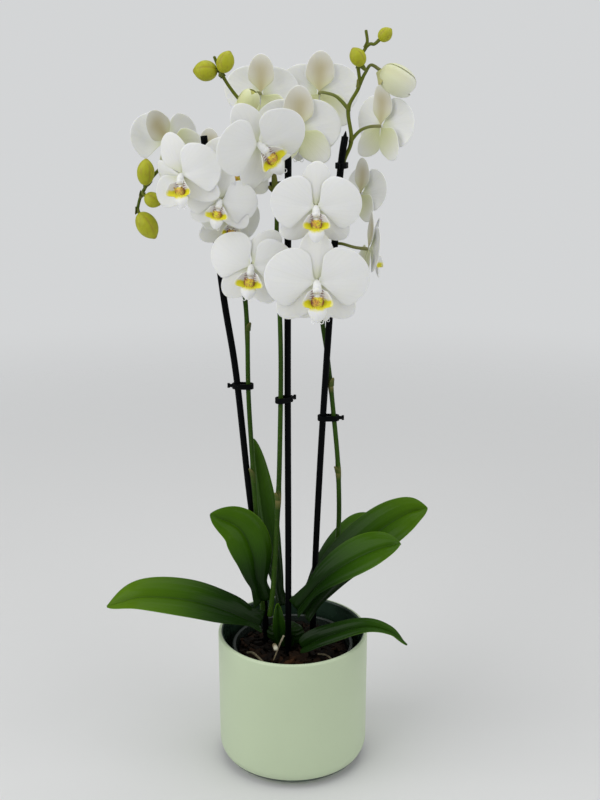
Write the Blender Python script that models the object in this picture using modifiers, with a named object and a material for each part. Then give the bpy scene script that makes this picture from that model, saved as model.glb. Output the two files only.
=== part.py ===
"""Potted moth orchid with three flower stems, in a straight ceramic cover pot.

Metres, +Z up. The origin is at the centre of the pot's flat base, and the side
that the plant is shown from faces -Y. Tables of places are in millimetres.
"""
import math

import bmesh
import bpy
from mathutils import Euler, Matrix, Vector

MM = 0.001
GAP = 0.0003
MERGE = 0.00005

# Cover pot: a straight cylinder with a rounded foot and a rounded thin rim.
POT_RADIUS = 0.072
POT_HEIGHT = 0.131
POT_WALL = 0.0045
POT_FLOOR = 0.006
POT_FOOT_ROUND = 0.018
POT_STEPS = 40
ARC_STEPS = 4

# Nursery pot: the thin clear pot that the plant grows in.
NURSERY_TOP = 0.1165
NURSERY_TOP_RADIUS = 0.0560
NURSERY_FOOT_RADIUS = 0.0470
NURSERY_LIP = 0.0028
NURSERY_WALL = 0.0009
NURSERY_STEPS = 32
DRAIN_HOLES = 5
DRAIN_HOLE_RADIUS = 0.0040
DRAIN_RING = 0.0300

# Bark mix: what fills the nursery pot.
BARK_TOP = 0.1080
BARK_MOUND = 0.0030
STAKE_BORE = 0.0037

# Tubes
STAKE_RADIUS = 0.0030
STEM_RADIUS = 0.0026
STEM_TIP_RADIUS = 0.0011
PEDICEL_RADIUS = 0.0012
ROOT_RADIUS = 0.0022
TUBE_SIDES_STEP = 2
STEM_SPAN_STEPS = 2
NODE_RING = 0.0034
STALK_ELBOW = 0.45
STALK_STRAIGHT = 0.012
STALK_ARCH = 0.08

# Clips: flat oblong loops around one stake and one stem.
CLIP_HEIGHT = 0.0050
CLIP_WALL = 0.0016
CLIP_CLEARANCE = 0.0006

# Leaves
LEAF_THICKNESS = 0.0020
LEAF_ROWS = 10
LEAF_COLUMNS = 4

# Flowers, as parts of the span across the two petals.
TEPAL_THICKNESS = 0.0009
TEPAL_ROWS = 3
PETAL_COLUMNS = 4
SEPAL_COLUMNS = 2
PETAL_HALF_WIDTH = 0.270
SEPAL_HALF_WIDTH = 0.135
SEPAL_LENGTH = 0.480
CLAW_HALF_WIDTH = 0.0022
PETAL_RISE = math.radians(14)
LATERAL_DROP = math.radians(46)
COLUMN_LENGTH = 0.085
PEDICEL_GAP = 0.0006

# name: colour, roughness, metallic
FINISHES = {
    "pot_glaze": ((0.56, 0.64, 0.47), 0.45, 0.0),
    "clear_plastic": ((0.30, 0.36, 0.34), 0.25, 0.0),
    "bark": ((0.07, 0.04, 0.025), 0.95, 0.0),
    "leaf_green": ((0.05, 0.16, 0.02), 0.35, 0.0),
    "stem_green": ((0.10, 0.22, 0.03), 0.45, 0.0),
    "bud_green": ((0.42, 0.46, 0.09), 0.45, 0.0),
    "root_pale": ((0.45, 0.42, 0.30), 0.70, 0.0),
    "stake_black": ((0.01, 0.01, 0.012), 0.35, 0.0),
    "petal_white": ((0.85, 0.86, 0.84), 0.50, 0.0),
    "lip_yellow": ((0.80, 0.62, 0.08), 0.50, 0.0),
}

# Stakes: points from the foot to the top.
STAKES = {
    "stake_left": ((-24, 12, 14), (-28, 10, 160), (-40, 6, 262), (-51, 3, 385), (-62, 1, 466), (-75, 0, 596)),
    "stake_middle": ((-5, -14, 14), (-4, -12, 200), (-4, -11, 400), (-3, -9, 588)),
    "stake_right": ((17, 18, 14), (21, 17, 170), (26, 8, 300), (33, 0, 432), (41, 0, 558), (46, 0, 600)),
}

# Flower stems: points from the foot to the tip, and the stations of the nodes
# on the bare part. A station counts along the points, so 2.5 is halfway
# between the third and the fourth.
STEMS = {
    "flower_stem_left": (
        ((-29, 1, 146), (-30, 2, 175), (-34, 2, 245), (-37, 2, 300), (-40, 2, 366), (-41, 5, 440),
         (-48, 12, 500), (-56, 8, 530), (-64, -2, 552), (-75, -8, 568), (-90, -9, 576), (-106, -9, 573),
         (-118, -12, 563), (-128, -14, 548), (-132, -14, 536)),
        (2.8, 4.8),
    ),
    "flower_stem_middle": (
        ((-22, -14, 150), (-18, -14, 185), (-13, -15, 271), (-11, -16, 336), (-10, -17, 400), (-11, -18, 455),
         (-13, -18, 500), (-13, -17, 540), (-16, -12, 570), (-22, -6, 597), (-33, -3, 615), (-47, 0, 629),
         (-58, 0, 645), (-65, 0, 661)),
        (2.0, 6.0),
    ),
    "flower_stem_right": (
        ((24, 22, 146), (37, 26, 180), (44, 23, 222), (43, 12, 288), (38, 5, 345), (32, 8, 400), (27, 8, 436),
         (28, 8, 480), (33, 8, 530), (44, 5, 572), (51, 4, 592), (48, 4, 618), (57, 4, 637), (56, 4, 656),
         (63, 4, 670), (62, 4, 682)),
        (3.0, 4.5),
    ),
}

# Clips: height of the clip, its stake and its stem.
CLIPS = {
    "clip_left": (374, "stake_left", "flower_stem_left"),
    "clip_middle": (366, "stake_middle", "flower_stem_middle"),
    "clip_right": (343, "stake_right", "flower_stem_right"),
    "clip_right_upper": (571, "stake_right", "flower_stem_right"),
    "clip_middle_upper": (556, "stake_middle", "flower_stem_middle"),
}

# Buds: stem, station where the stalk leaves it, centre, long and short radius,
# and the direction the tip points.
BUDS = (
    ("flower_stem_left", 12.3, (-123, -20, 567), 11.0, 7.5, (0.1, -0.1, 1.0)),
    ("flower_stem_left", 12.9, (-118, -20, 544), 7.5, 6.6, (0.7, -0.2, -0.4)),
    ("flower_stem_left", 14.0, (-124, -16, 522), 12.5, 9.0, (0.5, -0.1, -0.8)),
    ("flower_stem_middle", 12.2, (-72, -3, 649), 10.0, 8.6, (-1.0, -0.1, 0.0)),
    ("flower_stem_middle", 12.0, (-55, -7, 656), 9.2, 7.4, (0.4, 0.0, 0.9)),
    ("flower_stem_right", 13.9, (78, 2, 678), 6.6, 5.8, (0.7, 0.0, 0.6)),
    ("flower_stem_right", 12.8, (55, -6, 660), 8.2, 6.8, (-0.5, -0.1, 0.8)),
)

# Buds that are opening: big enough to be pieces of their own.
OPENING_BUDS = {
    "opening_bud_right": ("flower_stem_right", 12.0, (89, 4, 641), 16.5, 13.0, (0.85, -0.1, -0.5)),
    "opening_bud_middle": ("flower_stem_middle", 10.2, (-36, -17, 624), 11.0, 9.0, (0.4, -0.3, 0.8)),
}

# Flowers: stem, station where the stalk leaves it, centre, turn, nod and roll
# in degrees, and span in millimetres. Turn 0 faces -Y; a positive turn faces
# towards +X, a positive nod looks down, a positive roll lowers the +X side.
FLOWERS = {
    "flower_left_1": ("flower_stem_left", 5.3, (-34, -36, 490), -4, 8, 6, 78),
    "flower_left_2": ("flower_stem_left", 6.2, (-53, -4, 525), 26, 10, 16, 65),
    "flower_left_3": ("flower_stem_left", 7.8, (-59, -44, 546), -8, 10, 8, 65),
    "flower_left_4": ("flower_stem_left", 10.2, (-90, -48, 567), -20, 10, -8, 74),
    "flower_left_5": ("flower_stem_left", 9.4, (-107, 20, 590), -140, 0, 44, 71),
    "flower_left_6": ("flower_stem_left", 8.0, (-75, 44, 569), 160, 10, 0, 66),
    "flower_middle_1": ("flower_stem_middle", 6.0, (21, -56, 480), 3, 8, 0, 92),
    "flower_middle_2": ("flower_stem_middle", 7.0, (20, -58, 542), 2, 8, 0, 78),
    "flower_middle_3": ("flower_stem_middle", 8.0, (-44, -24, 574), -10, 10, 0, 68),
    "flower_middle_4": ("flower_stem_middle", 9.4, (-26, -53, 592), 22, 18, -38, 82),
    "flower_middle_5": ("flower_stem_middle", 8.8, (5, 14, 600), 176, 6, 0, 78),
    "flower_middle_6": ("flower_stem_middle", 10.6, (-27, 34, 630), 168, 4, 0, 70),
    "flower_right_1": ("flower_stem_right", 6.0, (28, -16, 464), 12, 14, 0, 68),
    "flower_right_2": ("flower_stem_right", 7.4, (68, 1, 499), 98, 8, -8, 70),
    "flower_right_3": ("flower_stem_right", 8.5, (62, 30, 544), 122, 8, 0, 66),
    "flower_right_4": ("flower_stem_right", 10.0, (78, 22, 603), 128, 0, 0, 74),
    "flower_right_5": ("flower_stem_right", 11.0, (24, 46, 630), 186, 6, 0, 76),
}

# Leaves: spine points from root to tip, half width, the way the upper side
# faces at the root and at the tip, how deep the channel is, and how far
# towards the tip the leaf is widest (1 is the middle).
LEAVES = {
    "leaf_left": (
        ((-30, -19, 144), (-60, -24, 161), (-98, -28, 175), (-142, -30, 179), (-173, -30, 169)),
        23, (0.3, -0.45, 0.9), (-0.2, -0.35, 0.9), 0.18, 1.0),
    "leaf_left_upright": (
        ((-29, -10, 164), (-34, -12, 190), (-38, -12, 217), (-50, -12, 241), (-76, -14, 255)),
        21, (0.5, -0.9, 0.1), (0.1, -0.9, 0.5), 0.15, 1.5),
    "leaf_back": (
        ((-13, 16, 146), (-23, 34, 196), (-32, 44, 256), (-38, 46, 309)),
        18, (0.9, -0.45, 0.2), (0.8, -0.7, 0.2), 0.20, 1.0),
    "leaf_right_front": (
        ((4, -22, 162), (28, -30, 196), (54, -36, 218), (78, -40, 232), (98, -42, 238)),
        20, (-0.5, -0.6, 0.6), (0.0, -0.5, 0.9), 0.20, 1.3),
    "leaf_right_back": (
        ((10, -6, 148), (44, 2, 194), (80, 8, 227), (108, 12, 245), (128, 14, 250)),
        23, (-0.5, -0.7, 0.5), (-0.2, -0.75, 0.65), 0.15, 0.9),
    "leaf_right_rear": (
        ((10, 26, 140), (36, 47, 184), (62, 57, 210), (84, 62, 222)),
        19, (-0.6, -0.2, 0.7), (-0.2, -0.4, 0.9), 0.15, 1.2),
    "leaf_right_small": (
        ((8, -30, 126), (32, -38, 143), (66, -44, 156), (90, -46, 152), (106, -46, 138)),
        11, (-0.3, -0.6, 0.8), (0.4, -0.2, 0.8), 0.20, 0.42),
    "leaf_sheath": (
        ((-12, -25, 128), (-13, -27, 150), (-14, -29, 172)),
        6, (0.1, -1.0, 0.1), (0.1, -1.0, 0.2), 0.20, 0.8),
}

# The root that shows on top of the bark.
ROOTS = {
    "root_front": ((-8, -33, 141), (-12, -36, 133), (-18, -40, 118)),
}

CROWN_CENTRE = (-7, 2, 125)
CROWN_RADII = (18, 10, 12)


def clear_scene():
    for item in list(bpy.data.objects):
        bpy.data.objects.remove(item, do_unlink=True)


def new_collection(name):
    group = bpy.data.collections.new(name)
    bpy.context.scene.collection.children.link(group)
    return group


def finish(name):
    """The material of a finish, made once."""
    found = bpy.data.materials.get(name)
    if found:
        return found
    colour, roughness, metallic = FINISHES[name]
    made = bpy.data.materials.new(name)
    made.use_nodes = True
    shader = made.node_tree.nodes["Principled BSDF"]
    shader.inputs["Base Color"].default_value = (*colour, 1.0)
    shader.inputs["Roughness"].default_value = roughness
    shader.inputs["Metallic"].default_value = metallic
    return made


def add_object(name, mesh, group, finish_name=None):
    made = bpy.data.objects.new(name, mesh)
    group.objects.link(made)
    if finish_name:
        mesh.materials.clear()
        mesh.materials.append(finish(finish_name))
        mesh.shade_smooth()
        mesh.set_sharp_from_angle(angle=math.radians(50))
    return made


def as_cutter(item):
    item.hide_render = True
    item.display_type = "WIRE"
    return item


def mesh_from(bm, name):
    mesh = bpy.data.meshes.new(name)
    bm.to_mesh(mesh)
    bm.free()
    return mesh


def evaluated_mesh(item):
    """A mesh of the object with its modifiers applied and its seams welded."""
    graph = bpy.context.evaluated_depsgraph_get()
    mesh = bpy.data.meshes.new_from_object(item.evaluated_get(graph))
    bm = bmesh.new()
    bm.from_mesh(mesh)
    bmesh.ops.remove_doubles(bm, verts=bm.verts, dist=MERGE)
    bm.to_mesh(mesh)
    bm.free()
    return mesh


def boolean(item, other, operation):
    step = item.modifiers.new(operation.lower(), "BOOLEAN")
    step.operation = operation
    step.object = other
    step.use_self = True
    return step


def place(point):
    """A point of a table, in metres."""
    return Vector(point) * MM


def smooth_path(points, per_span):
    """A Catmull-Rom curve through the points, with per_span steps a span."""
    ends = [2 * points[0] - points[1], *points, 2 * points[-1] - points[-2]]
    path = []
    for a, b, c, d in zip(ends, ends[1:], ends[2:], ends[3:]):
        for step in range(per_span):
            t = step / per_span
            path.append(
                0.5 * (2 * b + (c - a) * t + (2 * a - 5 * b + 4 * c - d) * t**2
                       + (3 * b - a - 3 * c + d) * t**3)
            )
    path.append(points[-1])
    return path


def point_at_station(path, station, per_span):
    """The point of a smooth path at a station counted along its table."""
    index = min(int(station * per_span), len(path) - 2)
    return path[index].lerp(path[index + 1], station * per_span - index)


def point_at_height(path, height):
    """Where a rising path first reaches a height."""
    for low, high in zip(path, path[1:]):
        if low.z <= height <= high.z:
            return low.lerp(high, (height - low.z) / max(high.z - low.z, MERGE))
    return min(path, key=lambda point: abs(point.z - height))


def tubes(name, runs, bevel_resolution=TUBE_SIDES_STEP):
    """One mesh of round tubes; a run is its path, start radius and end radius."""
    curve = bpy.data.curves.new(name, "CURVE")
    curve.dimensions = "3D"
    curve.bevel_depth = 1.0
    curve.bevel_resolution = bevel_resolution
    curve.use_fill_caps = True
    curve.render_resolution_u = 0
    for path, start, end in runs:
        spline = curve.splines.new("POLY")
        spline.points.add(len(path) - 1)
        for index, point in enumerate(path):
            share = index / (len(path) - 1)
            spline.points[index].co = (*point, 1.0)
            spline.points[index].radius = start + (end - start) * share
    item = bpy.data.objects.new(name, curve)
    bpy.context.scene.collection.objects.link(item)
    mesh = evaluated_mesh(item)
    bpy.data.objects.remove(item)
    return mesh


def add_egg(bm, centre, long_radius, short_radius, direction, segments=8, rings=5):
    """An ellipsoid whose long axis lies along the direction."""
    turn = Vector(direction).to_track_quat("Z", "Y").to_matrix().to_4x4()
    size = Matrix.Diagonal((short_radius, short_radius, long_radius, 1.0))
    bmesh.ops.create_uvsphere(
        bm, u_segments=segments, v_segments=rings, radius=1.0,
        matrix=Matrix.Translation(centre) @ turn @ size,
    )


def arc(centre_x, centre_z, radius, start, end):
    """Points of an arc in the XZ plane; angles in degrees from +X."""
    return [
        (centre_x + radius * math.cos(math.radians(start + (end - start) * step / ARC_STEPS)),
         centre_z + radius * math.sin(math.radians(start + (end - start) * step / ARC_STEPS)))
        for step in range(ARC_STEPS + 1)
    ]


def turned(name, profile, steps, group, finish_name):
    """A profile in the XZ plane turned round the Z axis."""
    bm = bmesh.new()
    corners = [bm.verts.new((x, 0.0, z)) for x, z in profile]
    for first, second in zip(corners, corners[1:]):
        bm.edges.new((first, second))
    item = add_object(name, mesh_from(bm, name), group, finish_name)
    screw = item.modifiers.new("turn", "SCREW")
    screw.steps = steps
    screw.render_steps = steps
    screw.use_merge_vertices = True
    screw.merge_threshold = MERGE
    return item


def cover_pot(group):
    half = POT_WALL / 2
    inner = POT_RADIUS - POT_WALL
    inner_round = POT_FOOT_ROUND - POT_WALL
    profile = [
        (0.0, POT_FLOOR),
        *arc(inner - inner_round, POT_FLOOR + inner_round, inner_round, -90, 0),
        *arc(POT_RADIUS - half, POT_HEIGHT - half, half, 180, 0),
        *arc(POT_RADIUS - POT_FOOT_ROUND, POT_FOOT_ROUND, POT_FOOT_ROUND, 0, -90),
        (0.0, 0.0),
    ]
    return turned("cover_pot", profile, POT_STEPS, group, "pot_glaze")


def nursery_pot(group, cutters):
    foot = POT_FLOOR + GAP
    inner_foot = foot + NURSERY_WALL
    inner_top = NURSERY_TOP_RADIUS - NURSERY_WALL
    profile = [
        (0.0, inner_foot),
        (NURSERY_FOOT_RADIUS - NURSERY_WALL, inner_foot),
        (inner_top, NURSERY_TOP),
        (NURSERY_TOP_RADIUS + NURSERY_LIP, NURSERY_TOP),
        (NURSERY_TOP_RADIUS + NURSERY_LIP, NURSERY_TOP - NURSERY_LIP),
        (NURSERY_TOP_RADIUS, NURSERY_TOP - NURSERY_LIP),
        (NURSERY_FOOT_RADIUS, foot),
        (0.0, foot),
    ]
    pot = turned("nursery_pot", profile, NURSERY_STEPS, group, "clear_plastic")
    bm = bmesh.new()
    for index in range(DRAIN_HOLES):
        angle = math.tau * index / DRAIN_HOLES
        spot = Vector((DRAIN_RING * math.cos(angle), DRAIN_RING * math.sin(angle), foot))
        bmesh.ops.create_cone(
            bm, cap_ends=True, segments=10, radius1=DRAIN_HOLE_RADIUS, radius2=DRAIN_HOLE_RADIUS,
            depth=4 * NURSERY_WALL, matrix=Matrix.Translation(spot),
        )
    holes = as_cutter(add_object("drain_holes", mesh_from(bm, "drain_holes"), cutters))
    boolean(pot, holes, "DIFFERENCE")
    return pot


def bark_mix(group, cutters):
    """The filling of the nursery pot, with a bore for each stake."""
    foot = POT_FLOOR + 2 * GAP + NURSERY_WALL
    clear = NURSERY_WALL + GAP
    span = NURSERY_TOP - POT_FLOOR
    edge = NURSERY_FOOT_RADIUS + (NURSERY_TOP_RADIUS - NURSERY_FOOT_RADIUS) * (BARK_TOP - POT_FLOOR) / span
    profile = [
        (0.0, BARK_TOP + BARK_MOUND),
        (0.5 * edge, BARK_TOP + 0.6 * BARK_MOUND),
        (edge - clear - 0.0006, BARK_TOP),
        (NURSERY_FOOT_RADIUS - clear - 0.0006, foot),
        (0.0, foot),
    ]
    bark = turned("bark_mix", profile, NURSERY_STEPS, group, "bark")
    runs = []
    for points in STAKES.values():
        path = smooth_path([place(point) for point in points], STEM_SPAN_STEPS)
        path[0] -= Vector((0.0, 0.0, STAKE_BORE - STAKE_RADIUS))
        runs.append((path, STAKE_BORE, STAKE_BORE))
    bores = as_cutter(add_object("stake_bores", tubes("stake_bores", runs), cutters))
    boolean(bark, bores, "DIFFERENCE")
    return bark


def crown(group):
    """The short woody stem that leaves, roots and flower stems grow from."""
    bm = bmesh.new()
    size = Matrix.Diagonal((*place(CROWN_RADII), 1.0))
    bmesh.ops.create_uvsphere(
        bm, u_segments=14, v_segments=8, radius=1.0, matrix=Matrix.Translation(place(CROWN_CENTRE)) @ size
    )
    return add_object("crown", mesh_from(bm, "crown"), group, "stem_green")


def blade_mesh(name, surface, columns, rows, thickness):
    """A closed sheet: a grid laid on surface(across, along), given a thickness."""
    bm = bmesh.new()
    bmesh.ops.create_grid(bm, x_segments=columns, y_segments=rows, size=1.0)
    for vert in bm.verts:
        vert.co = surface(vert.co.x, (vert.co.y + 1) / 2)
    sheet = bpy.data.objects.new(name, mesh_from(bm, name))
    bpy.context.scene.collection.objects.link(sheet)
    shell = sheet.modifiers.new("thickness", "SOLIDIFY")
    shell.thickness = thickness
    shell.offset = 0.0
    mesh = evaluated_mesh(sheet)
    bpy.data.objects.remove(sheet)
    return mesh


def leaf_outline(along, widest):
    """Half width along a leaf as a part of its largest."""
    body = math.sin(math.pi * min(max(along, 0.0), 1.0) ** widest) ** 0.62
    return max(body, 0.30 * (1 - along) ** 2, 0.07)


def leaf(name, spec, group):
    points, half_width, face_root, face_tip, channel, widest = spec
    spine = smooth_path([place(point) for point in points], 8)
    last = len(spine) - 1

    def surface(across, along):
        index = min(int(along * last), last - 1)
        centre = spine[index].lerp(spine[index + 1], along * last - index)
        tangent = (spine[index + 1] - spine[index]).normalized()
        face = Vector(face_root).lerp(Vector(face_tip), along)
        side = tangent.cross(face).normalized()
        up = side.cross(tangent).normalized()
        half = half_width * MM * leaf_outline(along, widest)
        return centre + side * across * half + up * channel * half * across**2

    mesh = blade_mesh(name, surface, LEAF_COLUMNS, LEAF_ROWS, LEAF_THICKNESS)
    return add_object(name, mesh, group, "leaf_green")


def flower_matrix(spec):
    """Where a flower sits and how it is turned."""
    centre, turn, nod, roll = spec[2:6]
    spin = Euler((math.radians(nod), math.radians(roll), math.radians(turn)))
    return Matrix.Translation(place(centre)) @ spin.to_matrix().to_4x4()


def tepal_outline(along):
    """Half width of a petal or sepal as a part of its largest."""
    return math.sin(math.pi * (0.08 + 0.82 * along) ** 0.85) ** 0.50


def tepal_mesh(name, length, half_width, columns, angle, layer, sweep):
    """One petal or sepal in the XZ plane, growing from the flower's centre."""
    outward = Vector((math.cos(angle), 0.0, math.sin(angle)))
    sideways = Vector((-math.sin(angle), 0.0, math.cos(angle)))

    def surface(across, along):
        reach = 0.0010 + (length - 0.0010) * along
        grown = min(along / 0.30, 1.0)
        half = CLAW_HALF_WIDTH + (half_width * tepal_outline(along) - CLAW_HALF_WIDTH) * grown
        tip = 1 - 0.22 * across**2 * along**2
        depth = layer + sweep * length * along**2
        return outward * reach * tip + sideways * across * half + Vector((0.0, depth, 0.0))

    return blade_mesh(name, surface, columns, TEPAL_ROWS, TEPAL_THICKNESS)


def flower_meshes(span):
    """The five white tepals with the column, and the lip, for one span."""
    half = span / 2
    tepals = bmesh.new()
    sepals = (math.pi / 2, math.pi + LATERAL_DROP, -LATERAL_DROP)
    for angle in sepals:
        sepal = tepal_mesh(
            "sepal", SEPAL_LENGTH * span, SEPAL_HALF_WIDTH * span, SEPAL_COLUMNS, angle, 0.0016, 0.06
        )
        tepals.from_mesh(sepal)
    for angle in (PETAL_RISE, math.pi - PETAL_RISE):
        petal = tepal_mesh(
            "petal", half / math.cos(PETAL_RISE) * 1.02, PETAL_HALF_WIDTH * span, PETAL_COLUMNS, angle,
            -0.0012, 0.0
        )
        tepals.from_mesh(petal)
    column = bmesh.new()
    add_egg(column, Vector((0.0, -0.30 * COLUMN_LENGTH * span, 0.0010)), 0.62 * COLUMN_LENGTH * span, 0.0034,
            (0.0, -1.0, 0.0))
    body = bpy.data.objects.new("column", mesh_from(column, "column"))
    petals = bpy.data.objects.new("tepals", mesh_from(tepals, "tepals"))
    for item in (body, petals):
        bpy.context.scene.collection.objects.link(item)
    boolean(body, petals, "UNION")
    perianth = evaluated_mesh(body)
    for item in (body, petals):
        bpy.data.objects.remove(item)
    return perianth, lip_mesh(span)


def lip_mesh(span):
    """The lip: a middle under the column, two side lobes and a front lobe."""
    bm = bmesh.new()
    for side in (-1, 1):
        add_egg(bm, Vector((side * 0.085, -0.105, -0.140)) * span, 0.080 * span, 0.042 * span,
                (side * 0.9, -0.1, 0.2), 6, 4)
    add_egg(bm, Vector((0.0, -0.130, -0.210)) * span, 0.090 * span, 0.055 * span, (0.0, -0.35, -1.0), 6, 4)
    lobes = bpy.data.objects.new("lobes", mesh_from(bm, "lobes"))
    core = bmesh.new()
    add_egg(core, Vector((0.0, -0.090, -0.124)) * span, 0.070 * span, 0.042 * span, (0.0, -0.4, -1.0), 6, 4)
    body = bpy.data.objects.new("lip", mesh_from(core, "lip"))
    for item in (lobes, body):
        bpy.context.scene.collection.objects.link(item)
    boolean(body, lobes, "UNION")
    mesh = evaluated_mesh(body)
    for item in (lobes, body):
        bpy.data.objects.remove(item)
    return mesh


def flowers(group):
    made = {}
    for name, spec in FLOWERS.items():
        span = spec[6]
        if span not in made:
            made[span] = flower_meshes(span * MM)
        perianth, lip = made[span]
        seat = bpy.data.objects.new(f"{name}_seat", None)
        group.objects.link(seat)
        seat.matrix_world = flower_matrix(spec)
        for part_name, mesh, finish_name in (
            (name, perianth, "petal_white"),
            (f"{name}_lip", lip, "lip_yellow"),
        ):
            add_object(part_name, mesh, group, finish_name).parent = seat


def stalk(start, end, away):
    """A stalk that leaves the stem, arches and arrives along a direction."""
    reach = (end - start).length
    elbow = end + away * min(STALK_ELBOW * reach, STALK_STRAIGHT)
    crest = start.lerp(elbow, 0.55) + Vector((0.0, 0.0, STALK_ARCH * reach))
    return [start, start.lerp(crest, 0.5) + Vector((0.0, 0.0, STALK_ARCH * reach / 3)), crest, elbow, end]


def flower_stem(name, group, cutters):
    """A flower stem with its nodes, flower stalks and closed buds, grown as one."""
    points, nodes = STEMS[name]
    path = smooth_path([place(point) for point in points], STEM_SPAN_STEPS)
    stem = add_object(name, tubes(name, [(path, STEM_RADIUS, STEM_TIP_RADIUS)]), group, "stem_green")
    runs = []
    for seat in FLOWERS.values():
        if seat[0] == name:
            matrix = flower_matrix(seat)
            back = (matrix.to_3x3() @ Vector((0.0, 1.0, 0.0))).normalized()
            end = matrix.translation + back * (0.30 * COLUMN_LENGTH * seat[6] * MM + PEDICEL_GAP)
            runs.append((stalk(point_at_station(path, seat[1], STEM_SPAN_STEPS), end, back), PEDICEL_RADIUS, PEDICEL_RADIUS))
    for seat in OPENING_BUDS.values():
        if seat[0] == name:
            back = -Vector(seat[5]).normalized()
            end = place(seat[2]) + back * (seat[3] * MM + PEDICEL_GAP)
            runs.append((stalk(point_at_station(path, seat[1], STEM_SPAN_STEPS), end, back), PEDICEL_RADIUS, PEDICEL_RADIUS))
    lumps = bmesh.new()
    for bud_stem, station, centre, long_radius, short_radius, direction in BUDS:
        if bud_stem == name:
            back = -Vector(direction).normalized()
            base = place(centre) + back * long_radius * MM * 0.9
            start = point_at_station(path, station, STEM_SPAN_STEPS)
            runs.append((stalk(start, base, back), PEDICEL_RADIUS, PEDICEL_RADIUS))
            add_egg(lumps, place(centre), long_radius * MM, short_radius * MM, direction)
    for station in nodes:
        spot = point_at_station(path, station, STEM_SPAN_STEPS)
        add_egg(lumps, spot, 1.3 * NODE_RING, NODE_RING, (0.0, 0.0, 1.0))
    stalks = as_cutter(add_object(f"{name}_stalks", tubes(f"{name}_stalks", runs, 1), cutters))
    swellings = as_cutter(add_object(f"{name}_swellings", mesh_from(lumps, f"{name}_swellings"), cutters))
    boolean(stem, stalks, "UNION")
    boolean(stem, swellings, "UNION")
    return stem


def opening_bud(name, spec, group):
    bm = bmesh.new()
    add_egg(bm, place(spec[2]), spec[3] * MM, spec[4] * MM, spec[5], 12, 8)
    return add_object(name, mesh_from(bm, name), group, "bud_green")


def oblong(curve, half_run, radius):
    """A closed outline of two half circles joined by straights."""
    spline = curve.splines.new("POLY")
    corners = []
    for side in (1, -1):
        for step in range(7):
            angle = math.pi * (step / 6 - 0.5) + (0.0 if side == 1 else math.pi)
            corners.append((side * half_run + radius * math.cos(angle), radius * math.sin(angle)))
    spline.points.add(len(corners) - 1)
    for point, (x, y) in zip(spline.points, corners):
        point.co = (x, y, 0.0, 1.0)
    spline.use_cyclic_u = True


def clip(name, spec, group):
    """A flat oblong loop round a stake and a stem."""
    height, stake_name, stem_name = spec
    stake_path = smooth_path([place(point) for point in STAKES[stake_name]], STEM_SPAN_STEPS)
    stem_path = smooth_path([place(point) for point in STEMS[stem_name][0]], STEM_SPAN_STEPS)
    stake_at = point_at_height(stake_path, height * MM)
    stem_at = point_at_height(stem_path, height * MM)
    run = stem_at - stake_at
    curve = bpy.data.curves.new(name, "CURVE")
    curve.dimensions = "2D"
    curve.fill_mode = "BOTH"
    curve.extrude = CLIP_HEIGHT / 2
    curve.render_resolution_u = 0
    inside = STAKE_RADIUS + CLIP_CLEARANCE
    oblong(curve, run.length / 2, inside + CLIP_WALL)
    oblong(curve, run.length / 2, inside)
    loop = bpy.data.objects.new(f"{name}_outline", curve)
    bpy.context.scene.collection.objects.link(loop)
    mesh = evaluated_mesh(loop)
    bpy.data.objects.remove(loop)
    made = add_object(name, mesh, group, "stake_black")
    made.location = (stake_at + stem_at) / 2
    made.rotation_euler = (0.0, 0.0, math.atan2(run.y, run.x))
    return made


def main():
    clear_scene()
    group = new_collection("potted_orchid")
    cutters = new_collection("cutters")
    cover_pot(group)
    nursery_pot(group, cutters)
    bark_mix(group, cutters)
    crown(group)
    for name, points in ROOTS.items():
        path = smooth_path([place(point) for point in points], 3)
        add_object(name, tubes(name, [(path, ROOT_RADIUS, 0.5 * ROOT_RADIUS)]), group, "root_pale")
    for name, spec in LEAVES.items():
        leaf(name, spec, group)
    for name, points in STAKES.items():
        path = smooth_path([place(point) for point in points], STEM_SPAN_STEPS)
        add_object(name, tubes(name, [(path, STAKE_RADIUS, STAKE_RADIUS)]), group, "stake_black")
    for name in STEMS:
        flower_stem(name, group, cutters)
    for name, spec in CLIPS.items():
        clip(name, spec, group)
    for name, spec in OPENING_BUDS.items():
        opening_bud(name, spec, group)
    flowers(group)


main()
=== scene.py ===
"""Looks of a potted moth orchid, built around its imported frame.

Metres, +Z up, the front faces -Y. Tables of places are in millimetres.
"""

import math
import random

import bmesh
import bpy
from bpy.props import FloatProperty, FloatVectorProperty, PointerProperty
from mathutils import Euler, Matrix, Vector, noise


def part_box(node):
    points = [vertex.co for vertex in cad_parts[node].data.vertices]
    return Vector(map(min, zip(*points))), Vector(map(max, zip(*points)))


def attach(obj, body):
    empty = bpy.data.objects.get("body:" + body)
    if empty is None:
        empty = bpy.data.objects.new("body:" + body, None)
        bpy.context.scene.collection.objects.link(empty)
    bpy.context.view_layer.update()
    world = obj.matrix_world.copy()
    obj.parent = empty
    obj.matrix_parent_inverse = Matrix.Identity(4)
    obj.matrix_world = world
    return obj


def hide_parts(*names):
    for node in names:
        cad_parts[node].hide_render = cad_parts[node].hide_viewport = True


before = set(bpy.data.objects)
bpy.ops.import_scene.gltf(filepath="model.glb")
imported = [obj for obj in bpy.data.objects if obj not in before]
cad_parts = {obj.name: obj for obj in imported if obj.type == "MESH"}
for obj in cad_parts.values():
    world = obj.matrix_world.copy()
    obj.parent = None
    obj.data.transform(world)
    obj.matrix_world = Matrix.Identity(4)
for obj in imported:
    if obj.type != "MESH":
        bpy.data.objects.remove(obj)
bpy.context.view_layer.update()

bl_info = {
    "name": "Potted Moth Orchid",
    "version": (1, 0, 0),
    "blender": (4, 5, 0),
    "location": "View3D > Sidebar > Orchid",
    "description": "Builds a potted moth orchid piece by piece around its frame",
    "category": "Add Mesh",
}

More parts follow.
